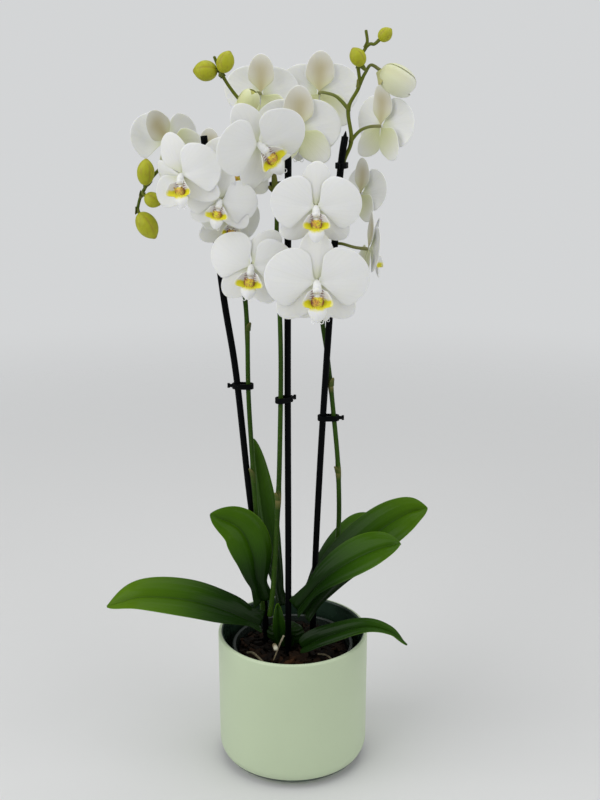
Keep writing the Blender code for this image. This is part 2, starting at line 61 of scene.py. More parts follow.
MM = 0.001
MERGE = 0.00002
STEPS_PER_SPAN = 8
MATERIAL_SLOTS = 8

# Stakes: points from the foot to the top, and how the top ends.
STAKES = {
    "stake_left": (
        ((-24, 12, 14), (-28, 10, 160), (-40, 6, 262), (-51, 3, 385), (-62, 1, 466), (-75, 0, 596)), "flat"),
    "stake_middle": (((-5, -14, 14), (-4, -12, 200), (-4, -11, 400), (-3, -9, 588)), "pointed"),
    "stake_right": (
        ((17, 18, 14), (21, 17, 170), (26, 8, 300), (33, 0, 432), (41, 0, 558), (46, 0, 600)), "pointed"),
}

# Flower stems: points from the foot to the tip, and the stations of the bare
# nodes. A station counts along the points, so 2.5 is halfway from the third
# to the fourth.
STEMS = {
    "flower_stem_left": (
        ((-29, 1, 146), (-30, 2, 175), (-34, 2, 245), (-37, 2, 300), (-40, 2, 366), (-41, 5, 440),
         (-48, 12, 500), (-56, 8, 530), (-64, -2, 552), (-75, -8, 568), (-90, -9, 576), (-106, -9, 573),
         (-118, -12, 563), (-128, -14, 548), (-132, -14, 536)),
        (2.8, 4.8),
    ),
    "flower_stem_middle": (
        ((-22, -14, 150), (-18, -14, 185), (-13, -15, 271), (-11, -16, 336), (-10, -17, 400), (-11, -18, 455),
         (-13, -18, 500), (-13, -17, 540), (-16, -12, 570), (-22, -6, 597), (-33, -3, 615), (-47, 0, 629),
         (-58, 0, 645), (-65, 0, 661)),
        (2.0, 6.0),
    ),
    "flower_stem_right": (
        ((24, 22, 146), (37, 26, 180), (44, 23, 222), (43, 12, 288), (38, 5, 345), (32, 8, 400), (27, 8, 436),
         (28, 8, 480), (33, 8, 530), (44, 5, 572), (51, 4, 592), (48, 4, 618), (57, 4, 637), (56, 4, 656),
         (63, 4, 670), (62, 4, 682)),
        (3.0, 4.5),
    ),
}

# Clips: height, stake, stem, and the side its tail points to.
CLIPS = {
    "clip_left": (374, "stake_left", "flower_stem_left", -1),
    "clip_middle": (366, "stake_middle", "flower_stem_middle", -1),
    "clip_right": (343, "stake_right", "flower_stem_right", 1),
    "clip_right_upper": (571, "stake_right", "flower_stem_right", -1),
    "clip_middle_upper": (556, "stake_middle", "flower_stem_middle", -1),
}

# Closed buds: stem, station where the stalk leaves, centre, long and short
# radius, and the way the tip points.
BUDS = (
    ("flower_stem_left", 12.3, (-123, -20, 567), 11.0, 7.5, (0.1, -0.1, 1.0)),
    ("flower_stem_left", 12.9, (-118, -20, 544), 7.5, 6.6, (0.7, -0.2, -0.4)),
    ("flower_stem_left", 14.0, (-124, -16, 522), 12.5, 9.0, (0.5, -0.1, -0.8)),
    ("flower_stem_middle", 12.2, (-72, -3, 649), 10.0, 8.6, (-1.0, -0.1, 0.0)),
    ("flower_stem_middle", 12.0, (-55, -7, 656), 9.2, 7.4, (0.4, 0.0, 0.9)),
    ("flower_stem_right", 13.9, (78, 2, 678), 6.6, 5.8, (0.7, 0.0, 0.6)),
    ("flower_stem_right", 12.8, (55, -6, 660), 8.2, 6.8, (-0.5, -0.1, 0.8)),
)

OPENING_BUDS = {
    "opening_bud_right": ("flower_stem_right", 12.0, (89, 4, 641), 16.5, 13.0, (0.85, -0.1, -0.5)),
    "opening_bud_middle": ("flower_stem_middle", 10.2, (-36, -17, 624), 11.0, 9.0, (0.4, -0.3, 0.8)),
}

# Flowers of each stem: station where the stalk leaves, centre, turn, nod and
# roll in degrees, and span in millimetres.
FLOWERS = {
    f"flower_{side}_{number}": (f"flower_stem_{side}", *spec)
    for side, specs in {
        "left": (
            (5.3, (-34, -36, 490), -4, 8, 6, 78),
            (6.2, (-53, -4, 525), 26, 10, 16, 65),
            (7.8, (-59, -44, 546), -8, 10, 8, 65),
            (10.2, (-90, -48, 567), -20, 10, -8, 74),
            (9.4, (-107, 20, 590), -140, 0, 44, 71),
            (8.0, (-75, 44, 569), 160, 10, 0, 66),
        ),
        "middle": (
            (6.0, (21, -56, 480), 3, 8, 0, 92),
            (7.0, (20, -58, 542), 2, 8, 0, 78),
            (8.0, (-44, -24, 574), -10, 10, 0, 68),
            (9.4, (-26, -53, 592), 22, 18, -38, 82),
            (8.8, (5, 14, 600), 176, 6, 0, 78),
            (10.6, (-27, 34, 630), 168, 4, 0, 70),
        ),
        "right": (
            (6.0, (28, -16, 464), 12, 14, 0, 68),
            (7.4, (68, 1, 499), 98, 8, -8, 70),
            (8.5, (62, 30, 544), 122, 8, 0, 66),
            (10.0, (78, 22, 603), 128, 0, 0, 74),
            (11.0, (24, 46, 630), 186, 6, 0, 76),
        ),
    }.items()
    for number, spec in enumerate(specs, 1)
}

# Leaves: spine from root to tip, half width, the way the upper side faces at
# the root and at the tip, depth of the channel, how far out it is widest, and
# how strongly its margins wave.
LEAVES = {
    "leaf_left": (
        ((-30, -19, 144), (-60, -24, 161), (-98, -28, 175), (-142, -30, 179), (-173, -30, 169)),
        23, (0.3, -0.45, 0.9), (-0.2, -0.35, 0.9), 0.18, 1.0, 1.2),
    "leaf_left_upright": (
        ((-29, -10, 164), (-34, -12, 190), (-38, -12, 217), (-50, -12, 241), (-76, -14, 255)),
        21, (0.5, -0.9, 0.1), (0.1, -0.9, 0.5), 0.15, 1.5, 0.6),
    "leaf_back": (
        ((-13, 16, 146), (-23, 34, 196), (-32, 44, 256), (-38, 46, 309)),
        18, (0.9, -0.45, 0.2), (0.8, -0.7, 0.2), 0.20, 1.0, 0.5),
    "leaf_right_front": (
        ((4, -22, 162), (28, -30, 196), (54, -36, 218), (78, -40, 232), (98, -42, 238)),
        20, (-0.5, -0.6, 0.6), (0.0, -0.5, 0.9), 0.20, 1.3, 0.6),
    "leaf_right_back": (
        ((10, -6, 148), (44, 2, 194), (80, 8, 227), (108, 12, 245), (128, 14, 250)),
        23, (-0.5, -0.7, 0.5), (-0.2, -0.75, 0.65), 0.15, 0.9, 0.6),
    "leaf_right_rear": (
        ((10, 26, 140), (36, 47, 184), (62, 57, 210), (84, 62, 222)),
        19, (-0.6, -0.2, 0.7), (-0.2, -0.4, 0.9), 0.15, 1.2, 0.6),
    "leaf_right_small": (
        ((8, -30, 126), (32, -38, 143), (66, -44, 156), (90, -46, 152), (106, -46, 138)),
        11, (-0.3, -0.6, 0.8), (0.4, -0.2, 0.8), 0.20, 0.42, 0.5),
    "leaf_sheath": (
        ((-12, -25, 128), (-13, -27, 150), (-14, -29, 172)),
        6, (0.1, -1.0, 0.1), (0.1, -1.0, 0.2), 0.20, 0.8, 0.0),
}

ROOT_FRONT = ((-8, -33, 141), (-12, -36, 133), (-18, -40, 118))
LOOSE_ROOTS = (
    (((-16, -30, 124), (-17, -36, 132), (-16, -41, 133), (-15, -44, 131)), 2.2),
    (((24, -20, 114), (32, -26, 116), (38, -34, 115), (40, -40, 111)), 0.9),
    (((36, 22, 114), (40, 14, 119), (47, 12, 120), (52, 6, 116)), 1.1),
    (((-44, -14, 112), (-38, -20, 115), (-30, -30, 113), (-24, -40, 111)), 1.3),
    (((2, -38, 112), (8, -44, 115), (16, -46, 114), (22, -44, 110)), 1.0),
)

# How yellow-green a leaf turns towards its tip. Below 0 it is painted shade
# instead: the leaf darkens all over, as the crown does.
LEAF_YOUTH_AND_SHADE = {"leaf_left": 0.72, "leaf_right_back": 0.36, "leaf_sheath": -0.2, "leaf_right_small": -0.05}

# Bracts that stand up beside a clip: stem, foot, axis, the way it faces, length
# and half width.
CLIP_BRACTS = (
    ("flower_stem_middle", (-14, -20, 552), (-1, -1, 18), (0, -1, 0), 17, 2.6),
    ("flower_stem_middle", (-16, -19, 552), (-8, -2, 5), (-1, -1, 1), 6, 2.0),
)

# How single petals are set, in degrees: right petal's rise and lean back, left
# petal's rise and lean back, how much more the side sepals spread, and how far
# the top sepal turns to the left.
PETAL_SET = {
    "flower_left_1": (0, 0, 8, 8, -10, -30),
    "flower_left_2": (-10, 16, 4, 0, 0, 0),
    "flower_left_3": (-12, 12, 0, 0, 6, 0),
    "flower_left_4": (2, 8, -40, 34, 4, 6),
    "flower_left_5": (50, -20, -44, -10, 0, 0),
    "flower_middle_4": (-12, -22, 18, 0, 0, 0),
    "flower_middle_6": (0, 0, 0, -24, 0, 0),
    "flower_right_2": (6, -14, 0, 0, 0, 0),
    "flower_right_3": (0, -6, 6, -6, 0, 0),
    "flower_right_4": (4, -4, -4, -8, 0, 0),
}

USUAL_YOUTH = 0.14
# Painted shade: the crown's tint is below 0, so it darkens all over.
CROWN_SHADE_TINT = -0.2

CROWN_CENTRE = (-7, 2, 125)
CROWN_RADII = (18, 10, 12)

# Old leaf bases round the crown: angle in degrees, height and width.
CROWN_SCALES = (
    (-100, 17, 10), (-60, 15, 8), (-135, 14, 9), (-20, 13, 8), (170, 15, 9), (60, 14, 8), (110, 12, 8),
)

# Opening buds: how pale the skin is, how green the foot of a sepal is, and how
# far up that green reaches.
OPENING_BUD_TINTS = {"opening_bud_right": (0.55, 0.72, 1.5), "opening_bud_middle": (0.2, 1.0, 2.6)}

# Sizes from here on are in metres.

# How the top of a stake ends: distance from the top, and share of its radius.
STAKE_ENDS = {
    "flat": ((0.0008, 1.0), (0.0003, 0.985), (0.0, 0.90)),
    "pointed": ((0.0120, 1.0), (0.0080, 0.86), (0.0040, 0.55), (0.0010, 0.22), (0.0, 0.08)),
}

# The tail of a clip, tab by tab: how far past the loop, length and height.
CLIP_TABS = ((0.0010, 0.0034, 0.0030), (0.0032, 0.0022, 0.0044))
CLIP_TAB_WIDTH = 0.0018
CLIP_PLAY = 0.0004

POT_FLOOR = 0.006
FOOT_RECESS = 0.0012
NURSERY_WALL = 0.0009
NURSERY_LIP = 0.0014
DRAIN_HOLES = 5
DRAIN_RING = 0.030
DRAIN_RADIUS = 0.004
BARK_DOME = 0.003
CHIP_COUNT = 330
CHIP_RING = 0.0515
CHIP_LIMIT = 0.0535
# Where the chips are painted lighter, a painted pool of light at the front, and how far it spreads.
LIT_CHIPS_AT = (0.004, -0.043)
LIT_CHIPS_SPREAD = 0.00030
SCALE_THICKNESS = 0.0009
BRACT_THICKNESS = 0.0005

# Lights: place and width. Their powers are settings of the stage.
LIGHTS = {
    "key": ((-1.9, -1.15, 1.7), 2.6),
    "fill": ((1.9, -1.1, 1.5), 2.4),
    "top": ((0.1, 0.3, 2.3), 2.0),
}
LIGHTS_AIM = (0.0, 0.0, 0.36)
FLOOR_REACH = 3.0
FLOOR_FADE = (0.60, 2.1)
CAMERA_PLACE = (0.007, -0.972, 0.6456)
CAMERA_TILT = math.radians(90 - 16.3)
CAMERA_LENS = 50.0
CAMERA_SENSOR = 36.0

# Proportions of a flower, as parts of its span, and its angles.
PETAL_HALF_WIDTH = 0.262
PETAL_LENGTH = 0.488
SEPAL_HALF_WIDTH = 0.160
SEPAL_LENGTH = 0.480
PETAL_RISE = math.radians(14)

# Faces and backs in the order of their material slots: name, how green the
# foot is, how much tint runs up the middle, and how far the green reaches.
# The column's slot comes between the top sepal's and the side sepals'.
PETAL_TINTS = (
    ("petal_face", 0.25, 0.0, 0.16), ("petal_back", 0.60, 0.0, 0.42),
    ("sepal_face", 0.50, 0.06, 0.40), ("sepal_back", 0.75, 0.84, 0.60),
    ("side_sepal_face", 0.50, 0.06, 0.40), ("side_sepal_back", 0.85, 0.12, 1.10),
)
PETAL_SLOT, TOP_SEPAL_SLOT, COLUMN_SLOT, SIDE_SEPAL_SLOT = 0, 2, 4, 5
LATERAL_DROP = math.radians(46)


# ---------------------------------------------------------------- settings

def length(label, about, value):
    return FloatProperty(name=label, description=about, unit="LENGTH", default=value)


def power(label, about, value):
    return FloatProperty(name=label, description=about, unit="POWER", default=value)


def colour(label, about, value):
    return FloatVectorProperty(name=label, description=about, subtype="COLOR", size=3, default=value)


class PotSettings(bpy.types.PropertyGroup):
    radius: length("Radius", "Outer radius of the cover pot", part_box("cover_pot")[1].x)
    height: length("Height", "Height of the cover pot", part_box("cover_pot")[1].z)
    wall: length("Wall", "Thickness of the ceramic", 0.0045)
    foot_round: length("Foot round", "Radius of the round at the foot", 0.018)
    glaze: colour("Glaze", "Colour of the outside", (0.535, 0.633, 0.43))
    lining: colour("Lining", "Colour of the inside", (0.02, 0.042, 0.026))


class PottingSettings(bpy.types.PropertyGroup):
    nursery_radius: length("Nursery pot radius", "Radius at the top of the clear pot", 0.0560)
    nursery_foot: length("Nursery pot foot", "Radius at the foot of the clear pot", 0.0470)
    nursery_top: length("Nursery pot top", "Height of the rim of the clear pot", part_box("nursery_pot")[1].z)
    bark_top: length("Bark level", "Height of the bark at the edge", 0.1080)
    plastic: colour("Clear plastic", "Tint of the clear pot", (0.03, 0.042, 0.034))
    bark_dark: colour("Damp bark", "Darkest bark", (0.005, 0.0038, 0.0024))
    # On the chips near the front this colour is also painted light.
    bark_light: colour("Dry bark", "Lightest bark", (0.11, 0.045, 0.016))


class LeafSettings(bpy.types.PropertyGroup):
    thickness: length("Thickness", "Thickness along the midrib", 0.0020)
    green: colour("Green", "Upper side of a leaf", (0.021, 0.074, 0.0016))
    # Towards the tip this is the leaf's own lighter green. At the margin, made brighter, it is a painted edge
    # light.
    young: colour("Young green", "Lighter green towards tip and margin", (0.086, 0.18, 0.0022))
    shade: colour("Shaded green", "Darker green towards the root", (0.0032, 0.015, 0.0012))
    under: colour("Underside", "Lower side of a leaf", (0.022, 0.062, 0.006))


class StemSettings(bpy.types.PropertyGroup):
    radius: length("Radius", "Radius of a flower stem at its foot", 0.0026)
    tip_radius: length("Tip radius", "Radius of a flower stem at its tip", 0.0013)
    stalk_radius: length("Stalk radius", "Radius of a flower's stalk", 0.0014)
    green: colour("Green", "Colour of a stem", (0.017, 0.047, 0.0022))
    olive: colour("Olive", "Colour of the upper stem and the stalks", (0.125, 0.15, 0.014))
    node: colour("Node", "Dry skin at a node", (0.23, 0.19, 0.07))
    bud: colour("Bud", "Closed bud", (0.44, 0.455, 0.018))
    blush: colour("Blush", "Brownish blush of a bud", (0.3, 0.2, 0.03))


class FlowerSettings(bpy.types.PropertyGroup):
    thickness: length("Petal thickness", "Thickness of petals and sepals", 0.0007)
    white: colour("White", "Petals", (0.89, 0.895, 0.885))
    throat: colour("Throat green", "Yellow-green at the foot of a petal", (0.68, 0.72, 0.33))
    back: colour("Back tint", "Tint along the back of a sepal", (0.56, 0.49, 0.27))
    yellow: colour("Lip yellow", "Band on the side lobes", (0.86, 0.8, 0.02))
    stripe: colour("Lip stripe", "Stripes and spots in the throat", (0.21, 0.04, 0.045))
    callus: colour("Callus", "Swelling in the middle of the lip", (0.76, 0.4, 0.06))


class SupportSettings(bpy.types.PropertyGroup):
    stake_radius: length("Stake radius", "Radius of a stake", 0.0030)
    clip_height: length("Clip height", "Height of a clip", 0.0050)
    clip_wall: length("Clip wall", "Thickness of a clip", 0.0016)
    black: colour("Black", "Plastic of stakes and clips", (0.0012, 0.0016, 0.002))


class StageSettings(bpy.types.PropertyGroup):
    floor: colour("Floor", "Colour of the floor", (0.745, 0.748, 0.746))
    sky: colour("Backdrop", "Colour seen behind the floor", (0.655, 0.665, 0.672))
    ambient: FloatProperty(name="Light all round", description="Strength of the light from all sides",
                           default=0.59)
    key_power: power("Key light", "Power of the large soft light at the left", 37.0)
    fill_power: power("Fill light", "Power of the soft light at the right", 18.0)
    top_power: power("Top light", "Power of the soft light overhead", 14.0)


SETTINGS = {
    "orchid_pot": PotSettings,
    "orchid_potting": PottingSettings,
    "orchid_leaves": LeafSettings,
    "orchid_stems": StemSettings,
    "orchid_flowers": FlowerSettings,
    "orchid_supports": SupportSettings,
    "orchid_stage": StageSettings,
}


# ----------------------------------------------------------- shader writing

class Socket:
    """An output of a shader node, with which sums and products can be written."""

    def __init__(self, finish, output):
        self.finish = finish
        self.output = output

    def _math(self, operation, *values):
        return self.finish.node("ShaderNodeMath", {"operation": operation}, dict(enumerate(values)))

    def __add__(self, other):
        return self._math("ADD", self, other)

    def __radd__(self, other):
        return self._math("ADD", other, self)

    def __sub__(self, other):
        return self._math("SUBTRACT", self, other)

    def __rsub__(self, other):
        return self._math("SUBTRACT", other, self)

    def __mul__(self, other):
        return self._math("MULTIPLY", self, other)

    def __rmul__(self, other):
        return self._math("MULTIPLY", other, self)

    def __truediv__(self, other):
        return self._math("DIVIDE", self, other)

    def __pow__(self, other):
        return self._math("POWER", self, other)

    def size(self):
        return self._math("ABSOLUTE", self)

    def sine(self):
        return self._math("SINE", self)

    def lowest(self, other):
        return self._math("MINIMUM", self, other)

    def highest(self, other):
        return self._math("MAXIMUM", self, other)

    def between(self, low, high):
        """0 at low and below, 1 at high and above, and smooth between them."""
        return self.finish.node(
            "ShaderNodeMapRange", {"interpolation_type": "SMOOTHSTEP"},
            {"Value": self, "From Min": low, "From Max": high},
        )


class Finish:
    """A material being made, around one principled shader."""

    def __init__(self, name, **fixed):
        self.material = bpy.data.materials.new(name)
        self.material.use_nodes = True
        self.tree = self.material.node_tree
        self.shader = self.tree.nodes["Principled BSDF"]
        for key, value in fixed.items():
            self.feed(self.shader.inputs[key.replace("_", " ").title().replace("Ior", "IOR")], value)

    def feed(self, entry, value):
        if isinstance(value, Socket):
            self.tree.links.new(value.output, entry)
        elif entry.type == "RGBA" and len(value) == 3:
            entry.default_value = (*value, 1.0)
        else:
            entry.default_value = value

    def node(self, kind, settings, inputs, output=0):
        """Any node: its type, its own settings, then what goes into its sockets."""
        made = self.tree.nodes.new(kind)
        for key, value in settings.items():
            setattr(made, key, value)
        for key, value in inputs.items():
            self.feed(made.inputs[key], value)
        return Socket(self, made.outputs[output])

    def place(self):
        return self.node("ShaderNodeTexCoord", {}, {}, "Object")

    def part(self, vector, axis):
        return self.node("ShaderNodeSeparateXYZ", {}, {"Vector": vector}, axis)

    def across_and_along(self):
        """The two directions of the piece's own UV map."""
        uv = self.node("ShaderNodeTexCoord", {}, {}, "UV")
        return self.part(uv, "X"), self.part(uv, "Y")

    def tint(self):
        """What the mesh says about where the second colour goes."""
        return self.node("ShaderNodeAttribute", {"attribute_name": "tint"}, {}, "Fac")

    def stretched(self, x, y, z):
        return self.node("ShaderNodeVectorMath", {"operation": "MULTIPLY"}, {0: self.place(), 1: (x, y, z)})

    def noise(self, scale, detail=3.0, vector=None):
        return self.node("ShaderNodeTexNoise", {},
                         {"Vector": vector or self.place(), "Scale": scale, "Detail": detail})

    def mix(self, factor, first, second):
        """From the first colour to the second as the factor goes from 0 to 1."""
        made = self.tree.nodes.new("ShaderNodeMix")
        made.data_type = "RGBA"
        self.feed(made.inputs["Factor"], factor)
        colours = [entry for entry in made.inputs if entry.type == "RGBA"]
        self.feed(colours[0], first)
        self.feed(colours[1], second)
        return Socket(self, [out for out in made.outputs if out.type == "RGBA"][0])

    def set(self, key, value):
        self.feed(self.shader.inputs[key], value)

    def made_of(self, colour, roughness, relief, depth):
        """The material, once it has its colour, its roughness and a relief of that depth."""
        self.set("Base Color", colour)
        self.set("Roughness", roughness)
        self.set("Normal", self.node("ShaderNodeBump", {},
                                     {"Height": relief, "Distance": depth, "Strength": 1.0}))
        return self.material


def scaled(colour, share):
    return tuple(channel * share for channel in colour)


def glaze_finish(pot):
    finish = Finish("sage_glaze", coat_weight=0.25, coat_roughness=0.35)
    drift = finish.noise(14.0, 2.0).between(0.35, 0.65)
    specks = finish.noise(900.0, 2.0).between(0.62, 0.72)
    glaze = finish.mix(drift, scaled(pot.glaze, 0.99), scaled(pot.glaze, 1.015))
    return finish.made_of(
        finish.mix(specks * 0.35, glaze, scaled(pot.glaze, 0.88)), 0.40 + finish.noise(60.0, 3.0) * 0.12,
        finish.noise(220.0, 3.0) + finish.noise(40.0, 2.0) * 1.5, 0.00006)


def lining_finish(pot):
    finish = Finish("dark_green_lining", coat_weight=0.15, coat_roughness=0.15, specular_ior_level=0.3)
    cloud = finish.noise(30.0, 3.0).between(0.3, 0.7)
    return finish.made_of(
        finish.mix(cloud, pot.lining, scaled(pot.lining, 1.5)), 0.22 + cloud * 0.1,
        finish.noise(90.0, 2.0), 0.00008)


def bare_foot_finish():
    finish = Finish("bare_clay_foot")
    grain = finish.noise(700.0, 4.0)
    return finish.made_of(
        finish.mix(grain, (0.62, 0.60, 0.54), (0.50, 0.48, 0.42)), 0.78 + grain * 0.15,
        grain, 0.00012)


def clear_plastic_finish(potting):
    finish = Finish("clear_plastic", transmission_weight=0.15, ior=1.45, specular_ior_level=0.35)
    scuffs = finish.noise(90.0, 4.0).between(0.35, 0.75)
    return finish.made_of(
        finish.mix(scuffs, potting.plastic, scaled(potting.plastic, 0.75)), 0.24 + scuffs * 0.14,
        finish.noise(300.0, 2.0), 0.00002)


def bark_finish(potting, name, spread):
    """Bark: dark and damp, with lighter and redder chips where the tint says. On the chips that tint is partly
    their own tone and partly a painted pool of light near the front.
    """
    finish = Finish(name, specular_ior_level=0.12)
    fibres = finish.noise(260.0, 5.0, finish.stretched(1.0, 1.0, 2.5))
    blotches = finish.noise(70.0, 3.0).between(0.4, 0.7)
    # The tint carries the chips' own tone and, near the front, painted light.
    age = (finish.tint() * spread + fibres * 0.25 - 0.12).highest(0.0)
    colour = finish.mix(age, potting.bark_dark, potting.bark_light)
    return finish.made_of(
        finish.mix(blotches * 0.5, colour, scaled(potting.bark_dark, 0.6)), 0.62 + fibres * 0.35,
        fibres + blotches * 0.6, 0.0006)


def leaf_finish(leaves, name, upper):
    """A leaf: fine lengthwise veins, a crease along the middle darkened with painted shade, painted shade towards
    the root, and a paler margin that is a painted edge light.
    """
    finish = Finish(name, coat_weight=0.12 if upper else 0.0, coat_roughness=0.16, specular_ior_level=0.05)
    across, along = finish.across_and_along()
    from_midrib = (across * 2.0 - 1.0).size()
    wobble = finish.noise(18.0, 2.0) * 1.6
    veins = ((across * 125.0 + wobble).sine() * 0.5 + 0.5) ** 3.0
    veins_fine = (across * 340.0 + wobble * 2.0).sine() * 0.5 + 0.5
    midrib = 1.0 - from_midrib.between(0.0, 0.07)
    # Mask of the margin, where a painted edge light goes.
    margin = from_midrib.between(0.95, 1.0)
    cloud = finish.noise(26.0, 4.0).between(0.3, 0.75)
    if upper:
        # Painted shade: darker towards the root.
        body = finish.mix(along.between(0.18, 0.68) * 0.9 + cloud * 0.1, leaves.shade, leaves.green)
        age = (finish.tint() + from_midrib * 0.15 + cloud * 0.15).highest(0.0)
        body = finish.mix(along.between(0.30, 0.92) * age.lowest(1.0), body, leaves.young)
        # Painted shade: a tint below 0 darkens the whole piece towards the shaded green.
        body = finish.mix((finish.tint() * -3.0).highest(0.0).lowest(0.75), body, leaves.shade)
        body = finish.mix(veins * 0.05, body, leaves.young)
        # Painted shade in the crease along the midrib.
        body = finish.mix(midrib * 0.40, body, leaves.shade)
    else:
        # Painted shade: the underside darkens towards the root.
        body = finish.mix(along.between(0.0, 0.6) * (0.5 + cloud * 0.5), leaves.shade, leaves.under)
        body = finish.mix(veins * 0.22, body, leaves.young)
        body = finish.mix(midrib * 0.5, body, leaves.young)
    # Painted edge light: along the margin the colour turns a brighter young green.
    return finish.made_of(
        finish.mix(margin * along.between(0.2, 0.8) * 0.6, body, scaled(leaves.young, 1.7)),
        (0.30 if upper else 0.46) + cloud * 0.12 + veins * 0.05,
        veins * 0.6 + veins_fine * 0.3 + finish.noise(420.0, 2.0) * 0.4, 0.00006)


def stem_finish(stems):
    finish = Finish("stem_green", coat_roughness=0.3, specular_ior_level=0.12)
    streaks = finish.noise(160.0, 3.0, finish.stretched(1.0, 1.0, 0.06))
    freckles = finish.noise(900.0, 2.0).between(0.60, 0.70)
    green = finish.mix(streaks.between(0.35, 0.7), stems.green, scaled(stems.green, 1.7))
    height = finish.part(finish.place(), "Z")
    green = finish.mix(height.between(0.50, 0.58) * 0.9, green, stems.olive)
    green = finish.mix(freckles * 0.3, green, stems.node)
    return finish.made_of(
        finish.mix(finish.tint(), green, stems.node), 0.38 + streaks * 0.15,
        streaks + finish.noise(700.0, 2.0) * 0.3, 0.00012)


def stalk_finish(stems):
    """Flower stalks: paler than the stem, white-green near the flower."""
    finish = Finish("stalk_pale_green", specular_ior_level=0.15)
    streaks = finish.noise(300.0, 3.0)
    colour = finish.mix(finish.tint() ** 3.0, stems.olive, (0.42, 0.40, 0.20))
    return finish.made_of(
        finish.mix(streaks * 0.3, colour, stems.green), 0.42 + streaks * 0.12,
        streaks, 0.00008)


def bud_finish(stems, name, pale):
    """Bud skin: the tint is 1 in the seams and at the tip."""
    finish = Finish(name, coat_weight=0.05, coat_roughness=0.35, specular_ior_level=0.25,
                    subsurface_weight=0.12, subsurface_radius=(0.004, 0.004, 0.001))
    cloud = finish.noise(140.0, 3.0)
    veins = finish.noise(420.0, 2.0, finish.stretched(1.0, 1.0, 0.35)).between(0.5, 0.72)
    base = finish.mix(pale, stems.bud, (0.80, 0.81, 0.56))
    body = finish.mix(cloud.between(0.35, 0.7) * 0.5, base, finish.mix(0.25, base, stems.green))
    body = finish.mix(veins * (0.30 - 0.2 * pale), body, stems.blush)
    return finish.made_of(
        finish.mix(finish.tint() * (0.75 - 0.35 * pale), body, stems.blush), 0.44 + cloud * 0.12,
        cloud + veins, 0.00010)


def petal_finish(flowers, name, foot_tint, middle_tint, foot_reach):
    """Petals and sepals: a fan of veins from the foot, and a tint at foot and middle."""
    finish = Finish(name, subsurface_weight=0.45, subsurface_radius=(0.009, 0.009, 0.007), sheen_weight=0.10,
                    specular_ior_level=0.25)
    fan, along = finish.across_and_along()
    wobble = finish.noise(90.0, 2.0) * 2.2
    veins = ((fan * 150.0 + wobble).sine() * 0.5 + 0.5) ** 4.0
    fine = (fan * 420.0 + wobble * 2.0).sine() * 0.5 + 0.5
    middle = 1.0 - ((fan - 0.5).size() * 2.0).between(0.0, 0.32)
    foot = 1.0 - along.between(0.02, foot_reach)
    warm = tuple(channel * share for channel, share in zip(flowers.white, (0.93, 0.945, 0.91)))
    body = finish.mix(veins * (1.0 - along.between(0.55, 1.0) * 0.6) * 0.14, flowers.white, warm)
    body = finish.mix(foot * foot_tint, body, flowers.throat)
    if middle_tint:
        spread = (middle * 0.6 + 0.4) * (1.0 - along.between(0.55, 0.98) * 0.75)
        body = finish.mix(spread * (0.7 + finish.noise(45.0, 2.0) * 0.6) * middle_tint, body, flowers.back)
    return finish.made_of(
        body, 0.46 + veins * 0.08 + finish.noise(200.0, 2.0) * 0.10,
        veins * 0.35 + fine * 0.12 + finish.noise(60.0, 3.0) * 2.0, 0.00012)


def column_finish(flowers):
    finish = Finish("column_white", subsurface_weight=0.15, subsurface_radius=(0.004, 0.004, 0.003),
                    coat_weight=0.2, coat_roughness=0.3)
    cloud = finish.noise(350.0, 3.0)
    body = finish.mix(cloud * 0.3, flowers.white, (0.78, 0.78, 0.72))
    return finish.made_of(finish.mix(finish.tint(), body, flowers.throat), 0.36 + cloud * 0.12, cloud, 0.00008)


def side_lobe_finish(flowers):
    """White wings with a yellow band along the front and stripes near the middle."""
    finish = Finish("lip_side_lobe", subsurface_weight=0.15, subsurface_radius=(0.004, 0.004, 0.001),
                    specular_ior_level=0.4)
    outward, rise = finish.across_and_along()
    ragged = (finish.noise(330.0, 2.0) - 0.5) * 0.22
    band = 1.0 - (rise + ragged).between(0.36, 0.56)
    fade = 1.0 - (outward + ragged).between(0.80, 1.0) * 0.55
    stripes = ((rise * 46.0 + finish.noise(260.0, 2.0) * 5.0).sine() * 0.5 + 0.5).between(0.35, 0.75)
    throat = 1.0 - (outward + ragged).between(0.18, 0.55)
    body = finish.mix(band * fade, flowers.white, flowers.yellow)
    return finish.made_of(
        finish.mix(stripes * throat * rise.between(0.25, 0.5) * 0.8, body, flowers.stripe),
        0.42 + stripes * 0.06, finish.noise(500.0, 2.0), 0.00010)


def front_lobe_finish(flowers):
    """The front of the lip: a yellow neck that turns white towards the tip."""
    finish = Finish("lip_front_lobe", subsurface_weight=0.15, subsurface_radius=(0.004, 0.004, 0.002),
                    specular_ior_level=0.4)
    across, along = finish.across_and_along()
    ragged = (finish.noise(300.0, 2.0) - 0.5) * 0.25
    neck = 1.0 - (along + ragged).between(0.10, 0.34)
    lines = ((across * 70.0 + ragged * 12.0).sine() * 0.5 + 0.5).between(0.5, 0.85)
    body = finish.mix(neck, flowers.white, flowers.yellow)
    return finish.made_of(
        finish.mix(lines * (1.0 - along.between(0.0, 0.20)) * 0.6, body, flowers.stripe), 0.42 + lines * 0.05,
        finish.noise(420.0, 2.0) + lines * 0.3, 0.00010)


def callus_finish(flowers):
    finish = Finish("lip_callus", coat_weight=0.3, coat_roughness=0.25)
    spots = finish.noise(950.0, 1.0).between(0.52, 0.60)
    body = finish.mix(finish.noise(240.0, 2.0).between(0.3, 0.7), flowers.callus, flowers.yellow)
    return finish.made_of(
        finish.mix((spots * 0.45 + finish.tint()).lowest(1.0), body, flowers.stripe), 0.34 + spots * 0.12,
        spots + finish.noise(600.0, 2.0), 0.00012)


